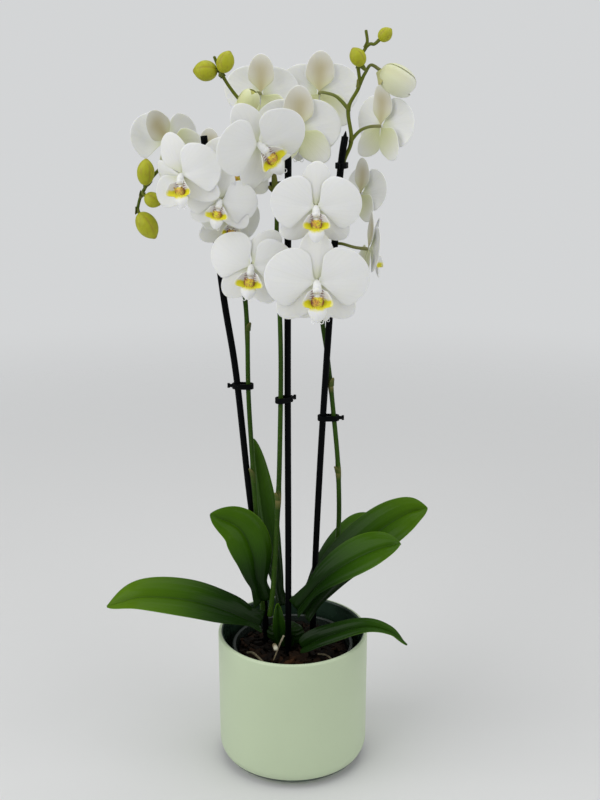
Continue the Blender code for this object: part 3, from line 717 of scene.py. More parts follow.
def black_plastic_finish(supports, name, gloss):
    finish = Finish(name, coat_weight=gloss, coat_roughness=0.3, specular_ior_level=0.05)
    drawn = finish.noise(500.0, 3.0, finish.stretched(1.0, 1.0, 0.04))
    scuffs = finish.noise(60.0, 4.0).between(0.55, 0.8)
    return finish.made_of(
        finish.mix(scuffs * 0.5, supports.black, scaled(supports.black, 3.0)),
        0.36 + drawn * 0.16 + scuffs * 0.08, drawn, 0.00010)


def root_finish():
    """Roots: tan where the skin is old, grey-white where the tint says."""
    finish = Finish("root_skin", specular_ior_level=0.3)
    skin = finish.noise(320.0, 4.0)
    body = finish.mix(skin.between(0.3, 0.7), (0.100, 0.074, 0.036), (0.210, 0.170, 0.090))
    return finish.made_of(
        finish.mix(finish.tint(), body, (0.640, 0.620, 0.480)), 0.66 + skin * 0.2,
        skin, 0.00025)


def floor_finish(stage):
    """The floor fades away at its edge, so that it has no hard end."""
    finish = Finish("pale_floor", specular_ior_level=0.15)
    reach = finish.node("ShaderNodeVectorMath", {"operation": "LENGTH"}, {0: finish.place()}, "Value")
    finish.set("Alpha", 1.0 - reach.between(*FLOOR_FADE))
    return finish.made_of(finish.mix(finish.noise(1.6, 3.0), stage.floor, scaled(stage.floor, 0.985)), 0.85,
                          finish.noise(300.0, 3.0), 0.00010)


# ------------------------------------------------------------ modelling

def place(values):
    """A point of a table, in metres."""
    return Vector(values) * MM


def places(points):
    return [place(point) for point in points]


def smooth_path(points, per_span=STEPS_PER_SPAN):
    """A Catmull-Rom curve through the points, with per_span steps a span."""
    ends = [2 * points[0] - points[1], *points, 2 * points[-1] - points[-2]]
    path = []
    for a, b, c, d in zip(ends, ends[1:], ends[2:], ends[3:]):
        for step in range(per_span):
            t = step / per_span
            path.append(
                0.5 * (2 * b + (c - a) * t + (2 * a - 5 * b + 4 * c - d) * t**2
                       + (3 * b - a - 3 * c + d) * t**3)
            )
    path.append(points[-1])
    return path


def at_station(path, station):
    index = min(int(station * STEPS_PER_SPAN), len(path) - 2)
    return path[index].lerp(path[index + 1], station * STEPS_PER_SPAN - index)


def at_height(path, height):
    for low, high in zip(path, path[1:]):
        if low.z <= height <= high.z:
            return low.lerp(high, (height - low.z) / max(high.z - low.z, MERGE))
    return min(path, key=lambda spot: abs(spot.z - height))


def ease(value):
    value = min(max(value, 0.0), 1.0)
    return value * value * (3 - 2 * value)


def new_bmesh():
    bm = bmesh.new()
    bm.loops.layers.uv.new("UVMap")
    bm.verts.layers.float.new("tint")
    return bm


def mesh_from(bm, name):
    mesh = bpy.data.meshes.new(name)
    bm.to_mesh(mesh)
    bm.free()
    return mesh


def tidy_normals(bm):
    bmesh.ops.remove_doubles(bm, verts=bm.verts, dist=MERGE)
    outwards(bm)


def finished_piece(name, shape, materials, replaced=(), subdivisions=0, sharp=None):
    """An object at the origin that rides on the one body, from a bmesh or a mesh."""
    mesh = mesh_from(shape, name) if isinstance(shape, bmesh.types.BMesh) else shape
    for index, material in enumerate(materials):
        if index < len(mesh.materials):
            mesh.materials[index] = material
        else:
            mesh.materials.append(material)
    while len(mesh.materials) > len(materials):
        mesh.materials.pop()
    mesh.shade_smooth()
    if sharp:
        mesh.set_sharp_from_angle(angle=math.radians(sharp))
    piece = bpy.data.objects.new(name, mesh)
    bpy.context.scene.collection.objects.link(piece)
    if subdivisions:
        smoother = piece.modifiers.new("smooth", "SUBSURF")
        smoother.levels = subdivisions
        smoother.render_levels = subdivisions
    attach(piece, "root")
    if replaced:
        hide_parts(*replaced)


def applied(piece):
    """The piece's mesh with its modifiers applied; the piece itself is removed."""
    graph = bpy.context.evaluated_depsgraph_get()
    mesh = bpy.data.meshes.new_from_object(piece.evaluated_get(graph))
    bpy.data.objects.remove(piece)
    return mesh


def faces_of(verts):
    return {face for vert in verts for face in vert.link_faces}


def edges_of(verts):
    return list({edge for vert in verts for edge in vert.link_edges})


def bevelled(bm, edges, offset, segments):
    return bmesh.ops.bevel(bm, geom=edges, offset=offset, affect="EDGES", segments=segments, profile=0.5,
                           material=-1)["verts"]


def outwards(bm):
    bmesh.ops.recalc_face_normals(bm, faces=bm.faces)


def facing_front(bm):
    for face in bm.faces:
        if face.normal.y > 0:
            face.normal_flip()


def add_tube(bm, path, radii, sides=12, tints=None, material=0):
    """A closed round tube: a circle extruded from point to point of a path."""
    layer = bm.verts.layers.float["tint"]
    turn = None
    spots = []
    for index, spot in enumerate(path):
        run = path[min(index + 1, len(path) - 1)] - path[max(index - 1, 0)]
        tangent = run.normalized()
        if turn is None:
            turn = tangent.to_track_quat("Z", "Y")
        else:
            turn = (turn @ Vector((0.0, 0.0, 1.0))).rotation_difference(tangent) @ turn
        size = Matrix.Diagonal((radii[index], radii[index], 1.0, 1.0))
        spots.append(Matrix.Translation(spot) @ turn.to_matrix().to_4x4() @ size)
    ring = bmesh.ops.create_circle(bm, cap_ends=True, segments=sides, radius=1.0, matrix=spots[0])["verts"]
    rings = [ring]
    edges = edges_of(ring)
    for before, after in zip(spots, spots[1:]):
        grown = bmesh.ops.extrude_edge_only(bm, edges=edges)["geom"]
        ring = [item for item in grown if isinstance(item, bmesh.types.BMVert)]
        kept = set(ring)
        edges = [item for item in grown if isinstance(item, bmesh.types.BMEdge) and set(item.verts) <= kept]
        bmesh.ops.transform(bm, matrix=after @ before.inverted(), verts=ring)
        rings.append(ring)
    bmesh.ops.contextual_create(bm, geom=edges)
    for index, ring in enumerate(rings):
        for vert in ring:
            vert[layer] = tints[index] if tints else 0.0
            for face in vert.link_faces:
                face.material_index = material
                face.smooth = True


def add_egg(bm, centre, long_radius, short_radius, direction, shape=None, segments=20, rings=14, material=0,
            flat=1.0):
    """An ellipsoid along a direction; shape(x, y, z) may move a point and give its tint."""
    layer = bm.verts.layers.float["tint"]
    made = bmesh.ops.create_uvsphere(bm, u_segments=segments, v_segments=rings, radius=1.0)["verts"]
    for vert in made:
        if shape:
            moved, tint = shape(*vert.co)
            vert.co = moved
            vert[layer] = tint
    turn = Vector(direction).to_track_quat("Z", "Y").to_matrix().to_4x4()
    size = Matrix.Diagonal((short_radius, short_radius * flat, long_radius, 1.0))
    bmesh.ops.transform(bm, matrix=Matrix.Translation(centre) @ turn @ size, verts=made)
    for face in faces_of(made):
        face.material_index = material


def add_sheet(bm, columns, rows, surface, material=0, rounded=True):
    """A grid laid on surface(x, y), which gives a point, its two UVs and its tint.

    A rounded sheet has its square drawn into a disc first.
    """
    uv_layer = bm.loops.layers.uv.active
    layer = bm.verts.layers.float["tint"]
    made = bmesh.ops.create_grid(bm, x_segments=columns, y_segments=rows, size=1.0)["verts"]
    uvs = {}
    for vert in made:
        x, y = vert.co.x, vert.co.y
        if rounded:
            x, y = x * math.sqrt(1 - y * y / 2), y * math.sqrt(1 - x * x / 2)
        spot, uv, tint = surface(x, y)
        vert.co = spot
        vert[layer] = tint
        uvs[vert] = uv
    for face in faces_of(made):
        face.material_index = material
        for loop in face.loops:
            loop[uv_layer].uv = uvs[loop.vert]


def thickened(bm, name, thickness, back_offset=0, weights=None):
    """A sheet mesh given its thickness; the back takes the next material."""
    sheet = bpy.data.objects.new(name, mesh_from(bm, name))
    for _ in range(MATERIAL_SLOTS):
        sheet.data.materials.append(None)
    bpy.context.scene.collection.objects.link(sheet)
    shell = sheet.modifiers.new("thickness", "SOLIDIFY")
    shell.thickness = thickness
    shell.offset = 0.0
    shell.use_quality_normals = True
    shell.material_offset = back_offset
    if weights:
        group = sheet.vertex_groups.new(name="body")
        for index, weight in enumerate(weights):
            group.add([index], weight, "REPLACE")
        shell.vertex_group = "body"
        shell.thickness_vertex_group = 0.25
    return applied(sheet)


def spun(profile, steps):
    """A closed profile of (radius, height) turned once round the Z axis."""
    bm = new_bmesh()
    corners = [bm.verts.new((radius, 0.0, height)) for radius, height in profile]
    edges = [bm.edges.new(pair) for pair in zip(corners, corners[1:])]
    bmesh.ops.spin(
        bm, geom=corners + edges, cent=(0.0, 0.0, 0.0), axis=(0.0, 0.0, 1.0), angle=math.tau, steps=steps,
        use_merge=True,
    )
    tidy_normals(bm)
    return bm


def arc(centre_x, centre_z, radius, start, end, steps=8):
    return [
        (centre_x + radius * math.cos(math.radians(start + (end - start) * step / steps)),
         centre_z + radius * math.sin(math.radians(start + (end - start) * step / steps)))
        for step in range(steps + 1)
    ]


# ------------------------------------------------------------ the pieces

class ORCHID_OT_cover_pot(bpy.types.Operator):
    """Turn the ceramic cover pot, with its dark lining and bare foot"""

    bl_idname = "orchid.cover_pot"
    bl_label = "Cover Pot"

    def execute(self, context):
        pot = context.scene.orchid_pot
        half = pot.wall / 2
        inner = pot.radius - pot.wall
        inner_round = pot.foot_round - pot.wall
        foot = pot.radius - pot.foot_round
        profile = [
            (0.0, POT_FLOOR),
            (0.5 * foot, POT_FLOOR),
            *arc(inner - inner_round, POT_FLOOR + inner_round, inner_round, -90, 0),
            (inner, 0.45 * pot.height),
            (inner, 0.80 * pot.height),
            *arc(pot.radius - half, pot.height - half, half, 180, 0, 10),
            (pot.radius, 0.80 * pot.height),
            (pot.radius, 0.45 * pot.height),
            *arc(foot, pot.foot_round, pot.foot_round, 0, -90, 12),
            (foot - 0.004, 0.0),
            (foot - 0.005, FOOT_RECESS),
            (0.5 * foot, FOOT_RECESS),
            (0.0, FOOT_RECESS),
        ]
        bm = spun(profile, 128)
        for face in bm.faces:
            middle = face.calc_center_median()
            radius = math.hypot(middle.x, middle.y)
            if radius < pot.radius - half - 0.0006 and middle.z > 0.5 * POT_FLOOR:
                face.material_index = 1
            elif middle.z < 1.5 * FOOT_RECESS and radius < foot:
                face.material_index = 2
        skins = (glaze_finish(pot), lining_finish(pot), bare_foot_finish())
        finished_piece("cover_pot_glazed", bm, skins, ("cover_pot",), sharp=40)
        return {"FINISHED"}


class ORCHID_OT_nursery_pot(bpy.types.Operator):
    """Turn the thin clear pot that the plant grows in, and bore its drain holes"""

    bl_idname = "orchid.nursery_pot"
    bl_label = "Nursery Pot"

    def execute(self, context):
        potting = context.scene.orchid_potting
        wall = NURSERY_WALL
        foot_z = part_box("nursery_pot")[0].z
        top = potting.nursery_top
        radius = potting.nursery_radius
        foot = potting.nursery_foot
        profile = [
            (0.0, foot_z + wall),
            (0.5 * foot, foot_z + wall),
            (foot - 0.004, foot_z + wall),
            (foot - wall, foot_z + 0.004),
            (foot + 0.45 * (radius - foot) - wall, foot_z + 0.45 * (top - foot_z)),
            (radius - wall, top - 0.004),
            (radius - 0.6 * wall, top - 0.0008),
            *arc(radius + NURSERY_LIP, top - NURSERY_LIP, NURSERY_LIP, 150, -20, 8),
            (radius + 0.0024, top - 0.0028),
            (radius + 0.0017, top - 0.0028),
            (radius + 0.0012, top - 0.0020),
            (radius, top - 0.0052),
            (foot + 0.45 * (radius - foot), foot_z + 0.45 * (top - foot_z)),
            (foot, foot_z + 0.004),
            (foot - 0.003, foot_z),
            (0.5 * foot, foot_z),
            (0.0, foot_z),
        ]
        shell = bpy.data.objects.new("shell", mesh_from(spun(profile, 96), "shell"))
        drills = new_bmesh()
        for index in range(DRAIN_HOLES):
            angle = math.tau * index / DRAIN_HOLES
            spot = Vector((DRAIN_RING * math.cos(angle), DRAIN_RING * math.sin(angle), foot_z))
            bmesh.ops.create_cone(drills, cap_ends=True, segments=24, radius1=DRAIN_RADIUS,
                                  radius2=DRAIN_RADIUS, depth=6 * wall, matrix=Matrix.Translation(spot))
        holes = bpy.data.objects.new("holes", mesh_from(drills, "holes"))
        for item in (shell, holes):
            context.scene.collection.objects.link(item)
        cut = shell.modifiers.new("drain", "BOOLEAN")
        cut.operation = "DIFFERENCE"
        cut.object = holes
        mesh = applied(shell)
        bpy.data.objects.remove(holes)
        finished_piece("nursery_pot_clear", mesh, (clear_plastic_finish(potting),),
                       ("nursery_pot",), sharp=50)
        return {"FINISHED"}


class ORCHID_OT_bark(bpy.types.Operator):
    """Fill the nursery pot with damp bark and scatter chips on top"""

    bl_idname = "orchid.bark"
    bl_label = "Bark"

    def execute(self, context):
        potting = context.scene.orchid_potting
        self.bed(potting)
        self.chips(potting)
        return {"FINISHED"}

    def bed(self, potting):
        foot_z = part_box("bark_mix")[0].z
        span = potting.nursery_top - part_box("nursery_pot")[0].z
        rise = potting.bark_top - foot_z
        edge = potting.nursery_foot + (potting.nursery_radius - potting.nursery_foot) * rise / span - 0.0022
        foot = potting.nursery_foot - 0.0050
        rings = 26
        profile = [(edge * index / rings, potting.bark_top + BARK_DOME * (1 - (index / rings) ** 2))
                   for index in range(rings)]
        profile += [(edge, potting.bark_top - 0.0010), (0.5 * (edge + foot), potting.bark_top - 0.5 * rise),
                    (foot, foot_z), (0.5 * foot, foot_z), (0.0, foot_z)]
        bm = spun(profile, 110)
        layer = bm.verts.layers.float["tint"]
        for vert in bm.verts:
            if vert.co.z > potting.bark_top - 0.0005:
                lump = noise.noise(vert.co * 190) + 0.5 * noise.noise(vert.co * 420)
                vert.co.z += 0.0016 * lump - 0.0010
                vert[layer] = 0.15 + 0.2 * noise.noise(vert.co * 120)
        finished_piece("bark_bed", bm, (bark_finish(potting, "bark_bed_damp", 0.5),), ("bark_mix",))

    def chips(self, potting):
        draw = random.Random(11)
        bm = new_bmesh()
        layer = bm.verts.layers.float["tint"]
        for _ in range(CHIP_COUNT):
            radius = CHIP_RING * math.sqrt(draw.random())
            angle = draw.uniform(0.0, math.tau)
            spot = Vector((radius * math.cos(angle), radius * math.sin(angle), 0.0))
            long_side = draw.uniform(0.0045, 0.0115)
            size = (long_side, long_side * draw.uniform(0.45, 0.8), draw.uniform(0.0014, 0.0034))
            if radius + 0.5 * long_side > CHIP_LIMIT:
                spot *= (CHIP_LIMIT - 0.5 * long_side) / radius
            spot.z = potting.bark_top + BARK_DOME * (1 - (radius / 0.054) ** 2) + draw.uniform(-0.0005, 0.0022)
            turn = Euler((draw.uniform(-0.5, 0.5), draw.uniform(-0.5, 0.5), draw.uniform(0.0, math.tau)))
            matrix = Matrix.Translation(spot) @ turn.to_matrix().to_4x4() @ Matrix.Diagonal((*size, 1.0))
            block = bmesh.ops.create_cube(bm, size=1.0)["verts"]
            chip = bevelled(bm, edges_of(block), 0.16, 1)
            # Painted light: chips near the front centre are lighter, a painted pool of light, on top of their own
            # random tone.
            away = (spot.x - LIT_CHIPS_AT[0]) ** 2 + (spot.y - LIT_CHIPS_AT[1]) ** 2
            tone_and_lit_patch = draw.random() ** 4 * 0.30 + math.exp(-away / LIT_CHIPS_SPREAD) * draw.uniform(0.1, 0.9)
            for vert in chip:
                vert.co += Vector([draw.uniform(-most, most) for most in (0.09, 0.09, 0.12)])
                vert[layer] = min(tone_and_lit_patch, 1.0)
            bmesh.ops.transform(bm, matrix=matrix, verts=chip)
        finished_piece("bark_chips", bm, (bark_finish(potting, "bark_chip", 1.0),), sharp=35)


class ORCHID_OT_crown(bpy.types.Operator):
    """Build the crown with its old leaf bases, and the roots on the bark"""

    bl_idname = "orchid.crown"
    bl_label = "Crown and Roots"

    def execute(self, context):
        leaves = context.scene.orchid_leaves
        bm = new_bmesh()
        centre = place(CROWN_CENTRE)

        def banded(x, y, z):
            band = 1 + 0.06 * math.sin(z * 16) + 0.07 * noise.noise(Vector((x, y, z)) * 3)
            return Vector((x * band, y * band, z)), CROWN_SHADE_TINT

        # Painted shade: the crown has no UV map, so the leaf finish gives it the shaded green of a leaf's root all
        # over.
        add_egg(bm, centre, CROWN_RADII[2] * MM, CROWN_RADII[0] * MM, (0, 0, 1), banded, 40, 26,
                flat=CROWN_RADII[1] / CROWN_RADII[0])
        finished_piece("crown_core", bm, (leaf_finish(leaves, "crown_skin", True),), ("crown",), 1)

        scales = new_bmesh()
        for angle, height, width in CROWN_SCALES:
            turn = math.radians(angle)
            out = Vector((math.cos(turn), math.sin(turn), 0.0))
            side = Vector((-out.y, out.x, 0.0))
            root = centre + Vector((out.x * 0.013, out.y * 0.010, -0.010))

            def scale_surface(x, y, out=out, side=side, root=root, height=height, width=width):
                along = (y + 1) / 2
                lean = out * 0.004 * along**2 - out * 0.0035 * x * x
                spot = root + Vector((0, 0, height * MM * along)) + side * x * width * 0.5 * MM + lean
                # Their along runs only to 0.3, so the leaf finish keeps the scales in its painted shade.
                return spot, (0.5 + 0.5 * x, 0.3 * along), 0.0

            add_sheet(scales, 8, 12, scale_surface)
        skins = (leaf_finish(leaves, "scale_upper", True), leaf_finish(leaves, "scale_under", True))
        mesh = thickened(scales, "crown_scales", SCALE_THICKNESS, 1)
        finished_piece("crown_scales", mesh, skins, (), 1)
        self.roots()
        return {"FINISHED"}

    def roots(self):
        skin = root_finish()
        front = new_bmesh()
        path = smooth_path(places(ROOT_FRONT), 8)
        last = len(path) - 1
        radii = [0.0010 * (1 + 0.18 * math.sin(index * 1.7)) * (1 - 0.35 * index / last)
                 for index in range(last + 1)]
        add_tube(front, path, radii, 12, [0.3 * (1 - index / last) for index in range(last + 1)])
        tidy_normals(front)
        finished_piece("root_at_front", front, (skin,), ("root_front",), 1)
        loose = new_bmesh()
        for points, radius in LOOSE_ROOTS:
            path = smooth_path(places(points), 8)
            last = len(path) - 1
            radii = []
            for index in range(last + 1):
                share = index / last
                bump = 1 + 0.12 * noise.noise(path[index] * 300)
                tip = math.sqrt(max(1 - (max(share - 0.8, 0) / 0.2) ** 2, 0))
                radii.append(radius * MM * bump * max(tip, 0.15))
            tints = [ease((index / last - 0.5) / 0.4) if radius > 2 else 0.1 for index in range(last + 1)]
            add_tube(loose, path, radii, 10, tints)
        outwards(loose)
        finished_piece("roots_on_bark", loose, (skin,), (), 1)


def leaf_outline(along, widest):
    """Half width along a leaf as a part of its largest, rounded to a small point."""
    body = math.sin(math.pi * min(max(along, 0.0), 1.0) ** widest) ** 0.62
    return max(body, 0.58 * (1 - along) ** 1.6)


class ORCHID_OT_leaves(bpy.types.Operator):
    """Shape every leaf as a fleshy channelled blade"""

    bl_idname = "orchid.leaves"
    bl_label = "Leaves"

    def execute(self, context):
        leaves = context.scene.orchid_leaves
        upper = leaf_finish(leaves, "leaf_upper", True)
        under = leaf_finish(leaves, "leaf_under", False)
        for index, (name, spec) in enumerate(LEAVES.items()):
            self.leaf(name, spec, index, leaves.thickness, (upper, under))
        return {"FINISHED"}

    def leaf(self, name, spec, seed, thickness, materials):
        points, half_width, face_root, face_tip, channel, widest, wave = spec
        spine = smooth_path(places(points), 16)
        last = len(spine) - 1
        bm = new_bmesh()
        weights = []

        def surface(x, y):
            step = (y + 1) / 2
            along = 1 - (1 - step) ** 1.5
            index = min(int(along * last), last - 1)
            centre = spine[index].lerp(spine[index + 1], along * last - index)
            before = spine[max(index - 2, 0)]
            after = spine[min(index + 3, last)]
            tangent = (after - before).normalized()
            face = Vector(face_root).lerp(Vector(face_tip), along)
            side = tangent.cross(face).normalized()
            up = side.cross(tangent).normalized()
            half = half_width * MM * leaf_outline(along, widest)
            fold = channel + 0.25 * (1 - ease(along / 0.35))
            rise = fold * half * abs(x) ** 1.7 + 0.085 * half * math.sin(math.pi * min(abs(x), 1.0)) ** 1.5
            groove = -0.0018 * math.exp(-(x * half / 0.0021) ** 2) * ease((1 - along) / 0.15)
            ripple = wave * MM * x * x * math.sin(along * 9.0 + seed * 1.3 + (0.8 if x > 0 else 0.0))
            quilt = 0.00018 * math.sin(x * 22.0) * ease((1 - along) / 0.2)
            across = x * half * (1 - 0.10 * fold)
            weights.append(1.0 if abs(x) < 0.5 else 1.0 - 0.85 * (abs(x) - 0.5) / 0.5)
            spot = centre + side * across + up * (rise + groove + ripple + quilt)
            return spot, ((x + 1) / 2, along), LEAF_YOUTH_AND_SHADE.get(name, USUAL_YOUTH)

        columns = 22 if half_width > 8 else 12
        rows = 60 if len(points) > 3 else 30
        add_sheet(bm, columns, rows, surface, rounded=False)
        mesh = thickened(bm, name, thickness, 1, weights)
        bm = bmesh.new()
        bm.from_mesh(mesh)
        bmesh.ops.remove_doubles(bm, verts=bm.verts, dist=MERGE)
        bm.to_mesh(mesh)
        bm.free()
        finished_piece(f"{name}_blade", mesh, materials, (name,), 1)


class ORCHID_OT_stakes(bpy.types.Operator):
    """Draw the three black stakes"""

    bl_idname = "orchid.stakes"
    bl_label = "Stakes"

    def execute(self, context):
        supports = context.scene.orchid_supports
        black = black_plastic_finish(supports, "stake_black", 0.0)
        for name, (points, ending) in STAKES.items():
            path = smooth_path(places(points))
            radii = [supports.stake_radius] * len(path)
            run = (path[-1] - path[-2]).normalized()
            top = path.pop()
            radii.pop()
            for back, share in STAKE_ENDS[ending]:
                path.append(top - run * back)
                radii.append(supports.stake_radius * share)
            path = [path[0], path[0].lerp(path[1], 0.1), *path[1:]]
            radii = [0.6 * radii[0], radii[0], *radii[1:]]
            bm = new_bmesh()
            add_tube(bm, path, radii, 20)
            outwards(bm)
            finished_piece(f"{name}_rod", bm, (black,), (name,), sharp=50)
        return {"FINISHED"}


class ORCHID_OT_clips(bpy.types.Operator):
    """Mould the oblong clips that tie each stem to its stake"""

    bl_idname = "orchid.clips"
    bl_label = "Clips"

    def execute(self, context):
        supports = context.scene.orchid_supports
        black = black_plastic_finish(supports, "clip_black", 0.02)
        for name, (height, stake_name, stem_name, tail_side) in CLIPS.items():
            stake_path = smooth_path(places(STAKES[stake_name][0]))
            stem_path = smooth_path(places(STEMS[stem_name][0]))
            stake_at = at_height(stake_path, height * MM)
            stem_at = at_height(stem_path, height * MM)
            self.clip(name, supports, stake_at, stem_at, tail_side, black)
        return {"FINISHED"}

    def clip(self, name, supports, stake_at, stem_at, tail_side, black):
        run = stem_at - stake_at
        half_run = math.hypot(run.x, run.y) / 2
        inside = supports.stake_radius + CLIP_PLAY
        bm = new_bmesh()
        loops = []
        for radius in (inside, inside + supports.clip_wall):
            ring = bmesh.ops.create_circle(bm, cap_ends=False, segments=36, radius=radius)["verts"]
            for vert in ring:
                vert.co.x += half_run if vert.co.x > 1e-7 else -half_run
            loops += edges_of(ring)
        band = bmesh.ops.bridge_loops(bm, edges=loops)["faces"]
        grown = bmesh.ops.extrude_face_region(bm, geom=band)["geom"]
        lifted = [item for item in grown if isinstance(item, bmesh.types.BMVert)]
        bmesh.ops.translate(bm, verts=lifted, vec=(0.0, 0.0, supports.clip_height))
        bmesh.ops.translate(bm, verts=bm.verts, vec=(0.0, 0.0, -supports.clip_height / 2))
        outwards(bm)
        sharp = [edge for edge in bm.edges if edge.is_manifold and edge.calc_face_angle() > 1.0]
        bevelled(bm, sharp, 0.00035, 2)
        reach = half_run + inside + supports.clip_wall
        for past, long, tall in CLIP_TABS:
            spot = Matrix.Translation((tail_side * (reach + past), 0.0, 0.0))
            size = Matrix.Diagonal((long, CLIP_TAB_WIDTH, tall, 1.0))
            bevelled(bm, edges_of(bmesh.ops.create_cube(bm, size=1.0, matrix=spot @ size)["verts"]), 0.0003, 2)
        turn = Matrix.Rotation(math.atan2(run.y, run.x), 4, "Z")
        bmesh.ops.transform(bm, matrix=Matrix.Translation((stake_at + stem_at) / 2) @ turn, verts=bm.verts)
        finished_piece(f"{name}_moulded", bm, (black,), (name,), sharp=40)


def flower_matrix(spec):
    centre, turn, nod, roll = spec[2:6]
    spin = Euler((math.radians(nod), math.radians(roll), math.radians(turn)))
    return Matrix.Translation(place(centre)) @ spin.to_matrix().to_4x4()


def stalk_path(start, end, away):
    """A stalk that leaves the stem, arches and arrives along a direction."""
    reach = (end - start).length
    elbow = end + away * min(0.45 * reach, 0.012)
    crest = start.lerp(elbow, 0.55) + Vector((0.0, 0.0, 0.08 * reach))
    climb = start.lerp(crest, 0.5) + Vector((0.0, 0.0, 0.08 * reach / 3))
    return smooth_path([start, climb, crest, elbow, end], 5)


def add_bract(bm, spot, axis, face, length, radius):
    """A small pointed scale that clasps a stem at a node."""
    axis = axis.normalized()
    face = (face - axis * face.dot(axis)).normalized()
    side = axis.cross(face)

    def surface(x, y):
        along = (y + 1) / 2
        angle = x * 1.5 * (1 - along) ** 0.6 if along < 1 else 0.0
        out = radius * (1.02 + 0.55 * along**2)
        point = spot + axis * length * along + (face * math.cos(angle) + side * math.sin(angle)) * out
        return point, (0.5 + x / 2, along), 0.15 + 0.7 * along**3

    add_sheet(bm, 6, 8, surface, rounded=False)


def bud_shape(x, y, z):
    """A closed bud: three seams and a small dark point."""
    angle = math.atan2(y, x)
    seam = max(math.exp(-(((angle - turn + math.pi) % math.tau - math.pi) / 0.10) ** 2)
               for turn in (0.4, 0.4 + math.tau / 3, 0.4 + 2 * math.tau / 3))
    waist = 1 - 0.16 * max(z, 0.0) ** 2 - 0.05 * seam
    tip = ease((z - 0.93) / 0.07)
    return Vector((x * waist, y * waist, z + 0.06 * tip)), min(0.75 * seam * (1 - z * z) + tip, 1.0)


class ORCHID_OT_stems(bpy.types.Operator):
    """Grow the three flower stems with nodes, bracts, stalks and closed buds"""

    bl_idname = "orchid.stems"
    bl_label = "Flower Stems"

    def execute(self, context):
        stems = context.scene.orchid_stems
        green = stem_finish(stems)
        stalks = stalk_finish(stems)
        skin = bud_finish(stems, "bud_skin", 0.0)
        for name in STEMS:
            self.stem(name, stems, green, stalks, skin)
        return {"FINISHED"}

    def stem(self, name, stems, green, pale, skin):
        points, nodes = STEMS[name]
        path = smooth_path(places(points))
        last = len(path) - 1
        leaving = [spec[1] for spec in (*FLOWERS.values(), *OPENING_BUDS.values(), *BUDS) if spec[0] == name]
        radii, tints = [], []
        for index in range(last + 1):
            station = index / STEPS_PER_SPAN
            swell = sum(0.34 * math.exp(-((station - node) / 0.06) ** 2) for node in nodes)
            swell += sum(0.22 * math.exp(-((station - node) / 0.12) ** 2) for node in leaving)
            taper = stems.radius + (stems.tip_radius - stems.radius) * index / last
            radii.append(taper * (1 + min(swell, 0.4)))
            tints.append(min(0.75 * sum(math.exp(-((station - node) / 0.035) ** 2) for node in nodes), 0.8))
        bm = new_bmesh()
        add_tube(bm, path, radii, 14, tints)
        runs = []
        for spec in FLOWERS.values():
            if spec[0] == name:
                matrix = flower_matrix(spec)
                back = (matrix.to_3x3() @ Vector((0.0, 1.0, 0.0))).normalized()
                end = matrix.translation + back * 0.0012
                runs.append((at_station(path, spec[1]), end, back, 1.0, spec[1]))
        for spec in OPENING_BUDS.values():
            if spec[0] == name:
                back = -Vector(spec[5]).normalized()
                base = place(spec[2]) + back * spec[3] * MM * 0.95
                runs.append((at_station(path, spec[1]), base, back, 0.8, spec[1]))
        buds = new_bmesh()
        for bud_stem, station, centre, long_radius, short_radius, direction in BUDS:
            if bud_stem == name:
                back = -Vector(direction).normalized()
                base = place(centre) + back * long_radius * MM * 0.9
                runs.append((at_station(path, station), base, back, 0.45, station))
                add_egg(buds, place(centre), long_radius * MM, short_radius * MM, direction, bud_shape, 48, 24)
        bracts = new_bmesh()
        for start, end, back, paleness, station in runs:
            way = stalk_path(start, end, back)
            count = len(way) - 1
            shares = [index / count for index in range(count + 1)]
            width = [stems.stalk_radius * (1 + 0.35 * (1 - share) ** 3 + 0.25 * share**6) for share in shares]
            add_tube(bm, way, width, 10, [paleness * share for share in shares], 1)
            heading = way[2] - way[0]
            above = at_station(path, min(station + 0.2, last / STEPS_PER_SPAN))
            climb = (above - at_station(path, station - 0.2)).normalized()
            add_bract(bracts, start - climb * 0.002, heading.normalized() + climb, -heading + climb * 0.001, 0.0065,
                      0.0024)
        for index, node in enumerate(nodes):
            spot = at_station(path, node)
            climb = at_station(path, node + 0.1) - at_station(path, node - 0.1)
            face = Vector((0.7 if index % 2 else -0.7, -0.8, 0.0))
            add_bract(bracts, spot - climb.normalized() * 0.001, climb, face, 0.0085, 0.0030)
        for bract_stem, foot, axis, face, length, radius in CLIP_BRACTS:
            if bract_stem == name:
                add_bract(bracts, place(foot), Vector(axis), Vector(face), length * MM, radius * MM)
        bm.from_mesh(thickened(bracts, f"{name}_bracts", BRACT_THICKNESS))
        outwards(bm)
        finished_piece(f"{name}_grown", bm, (green, pale), (name,), 1)
        if buds.verts:
            finished_piece(f"{name}_buds", buds, (skin,), (), 1)


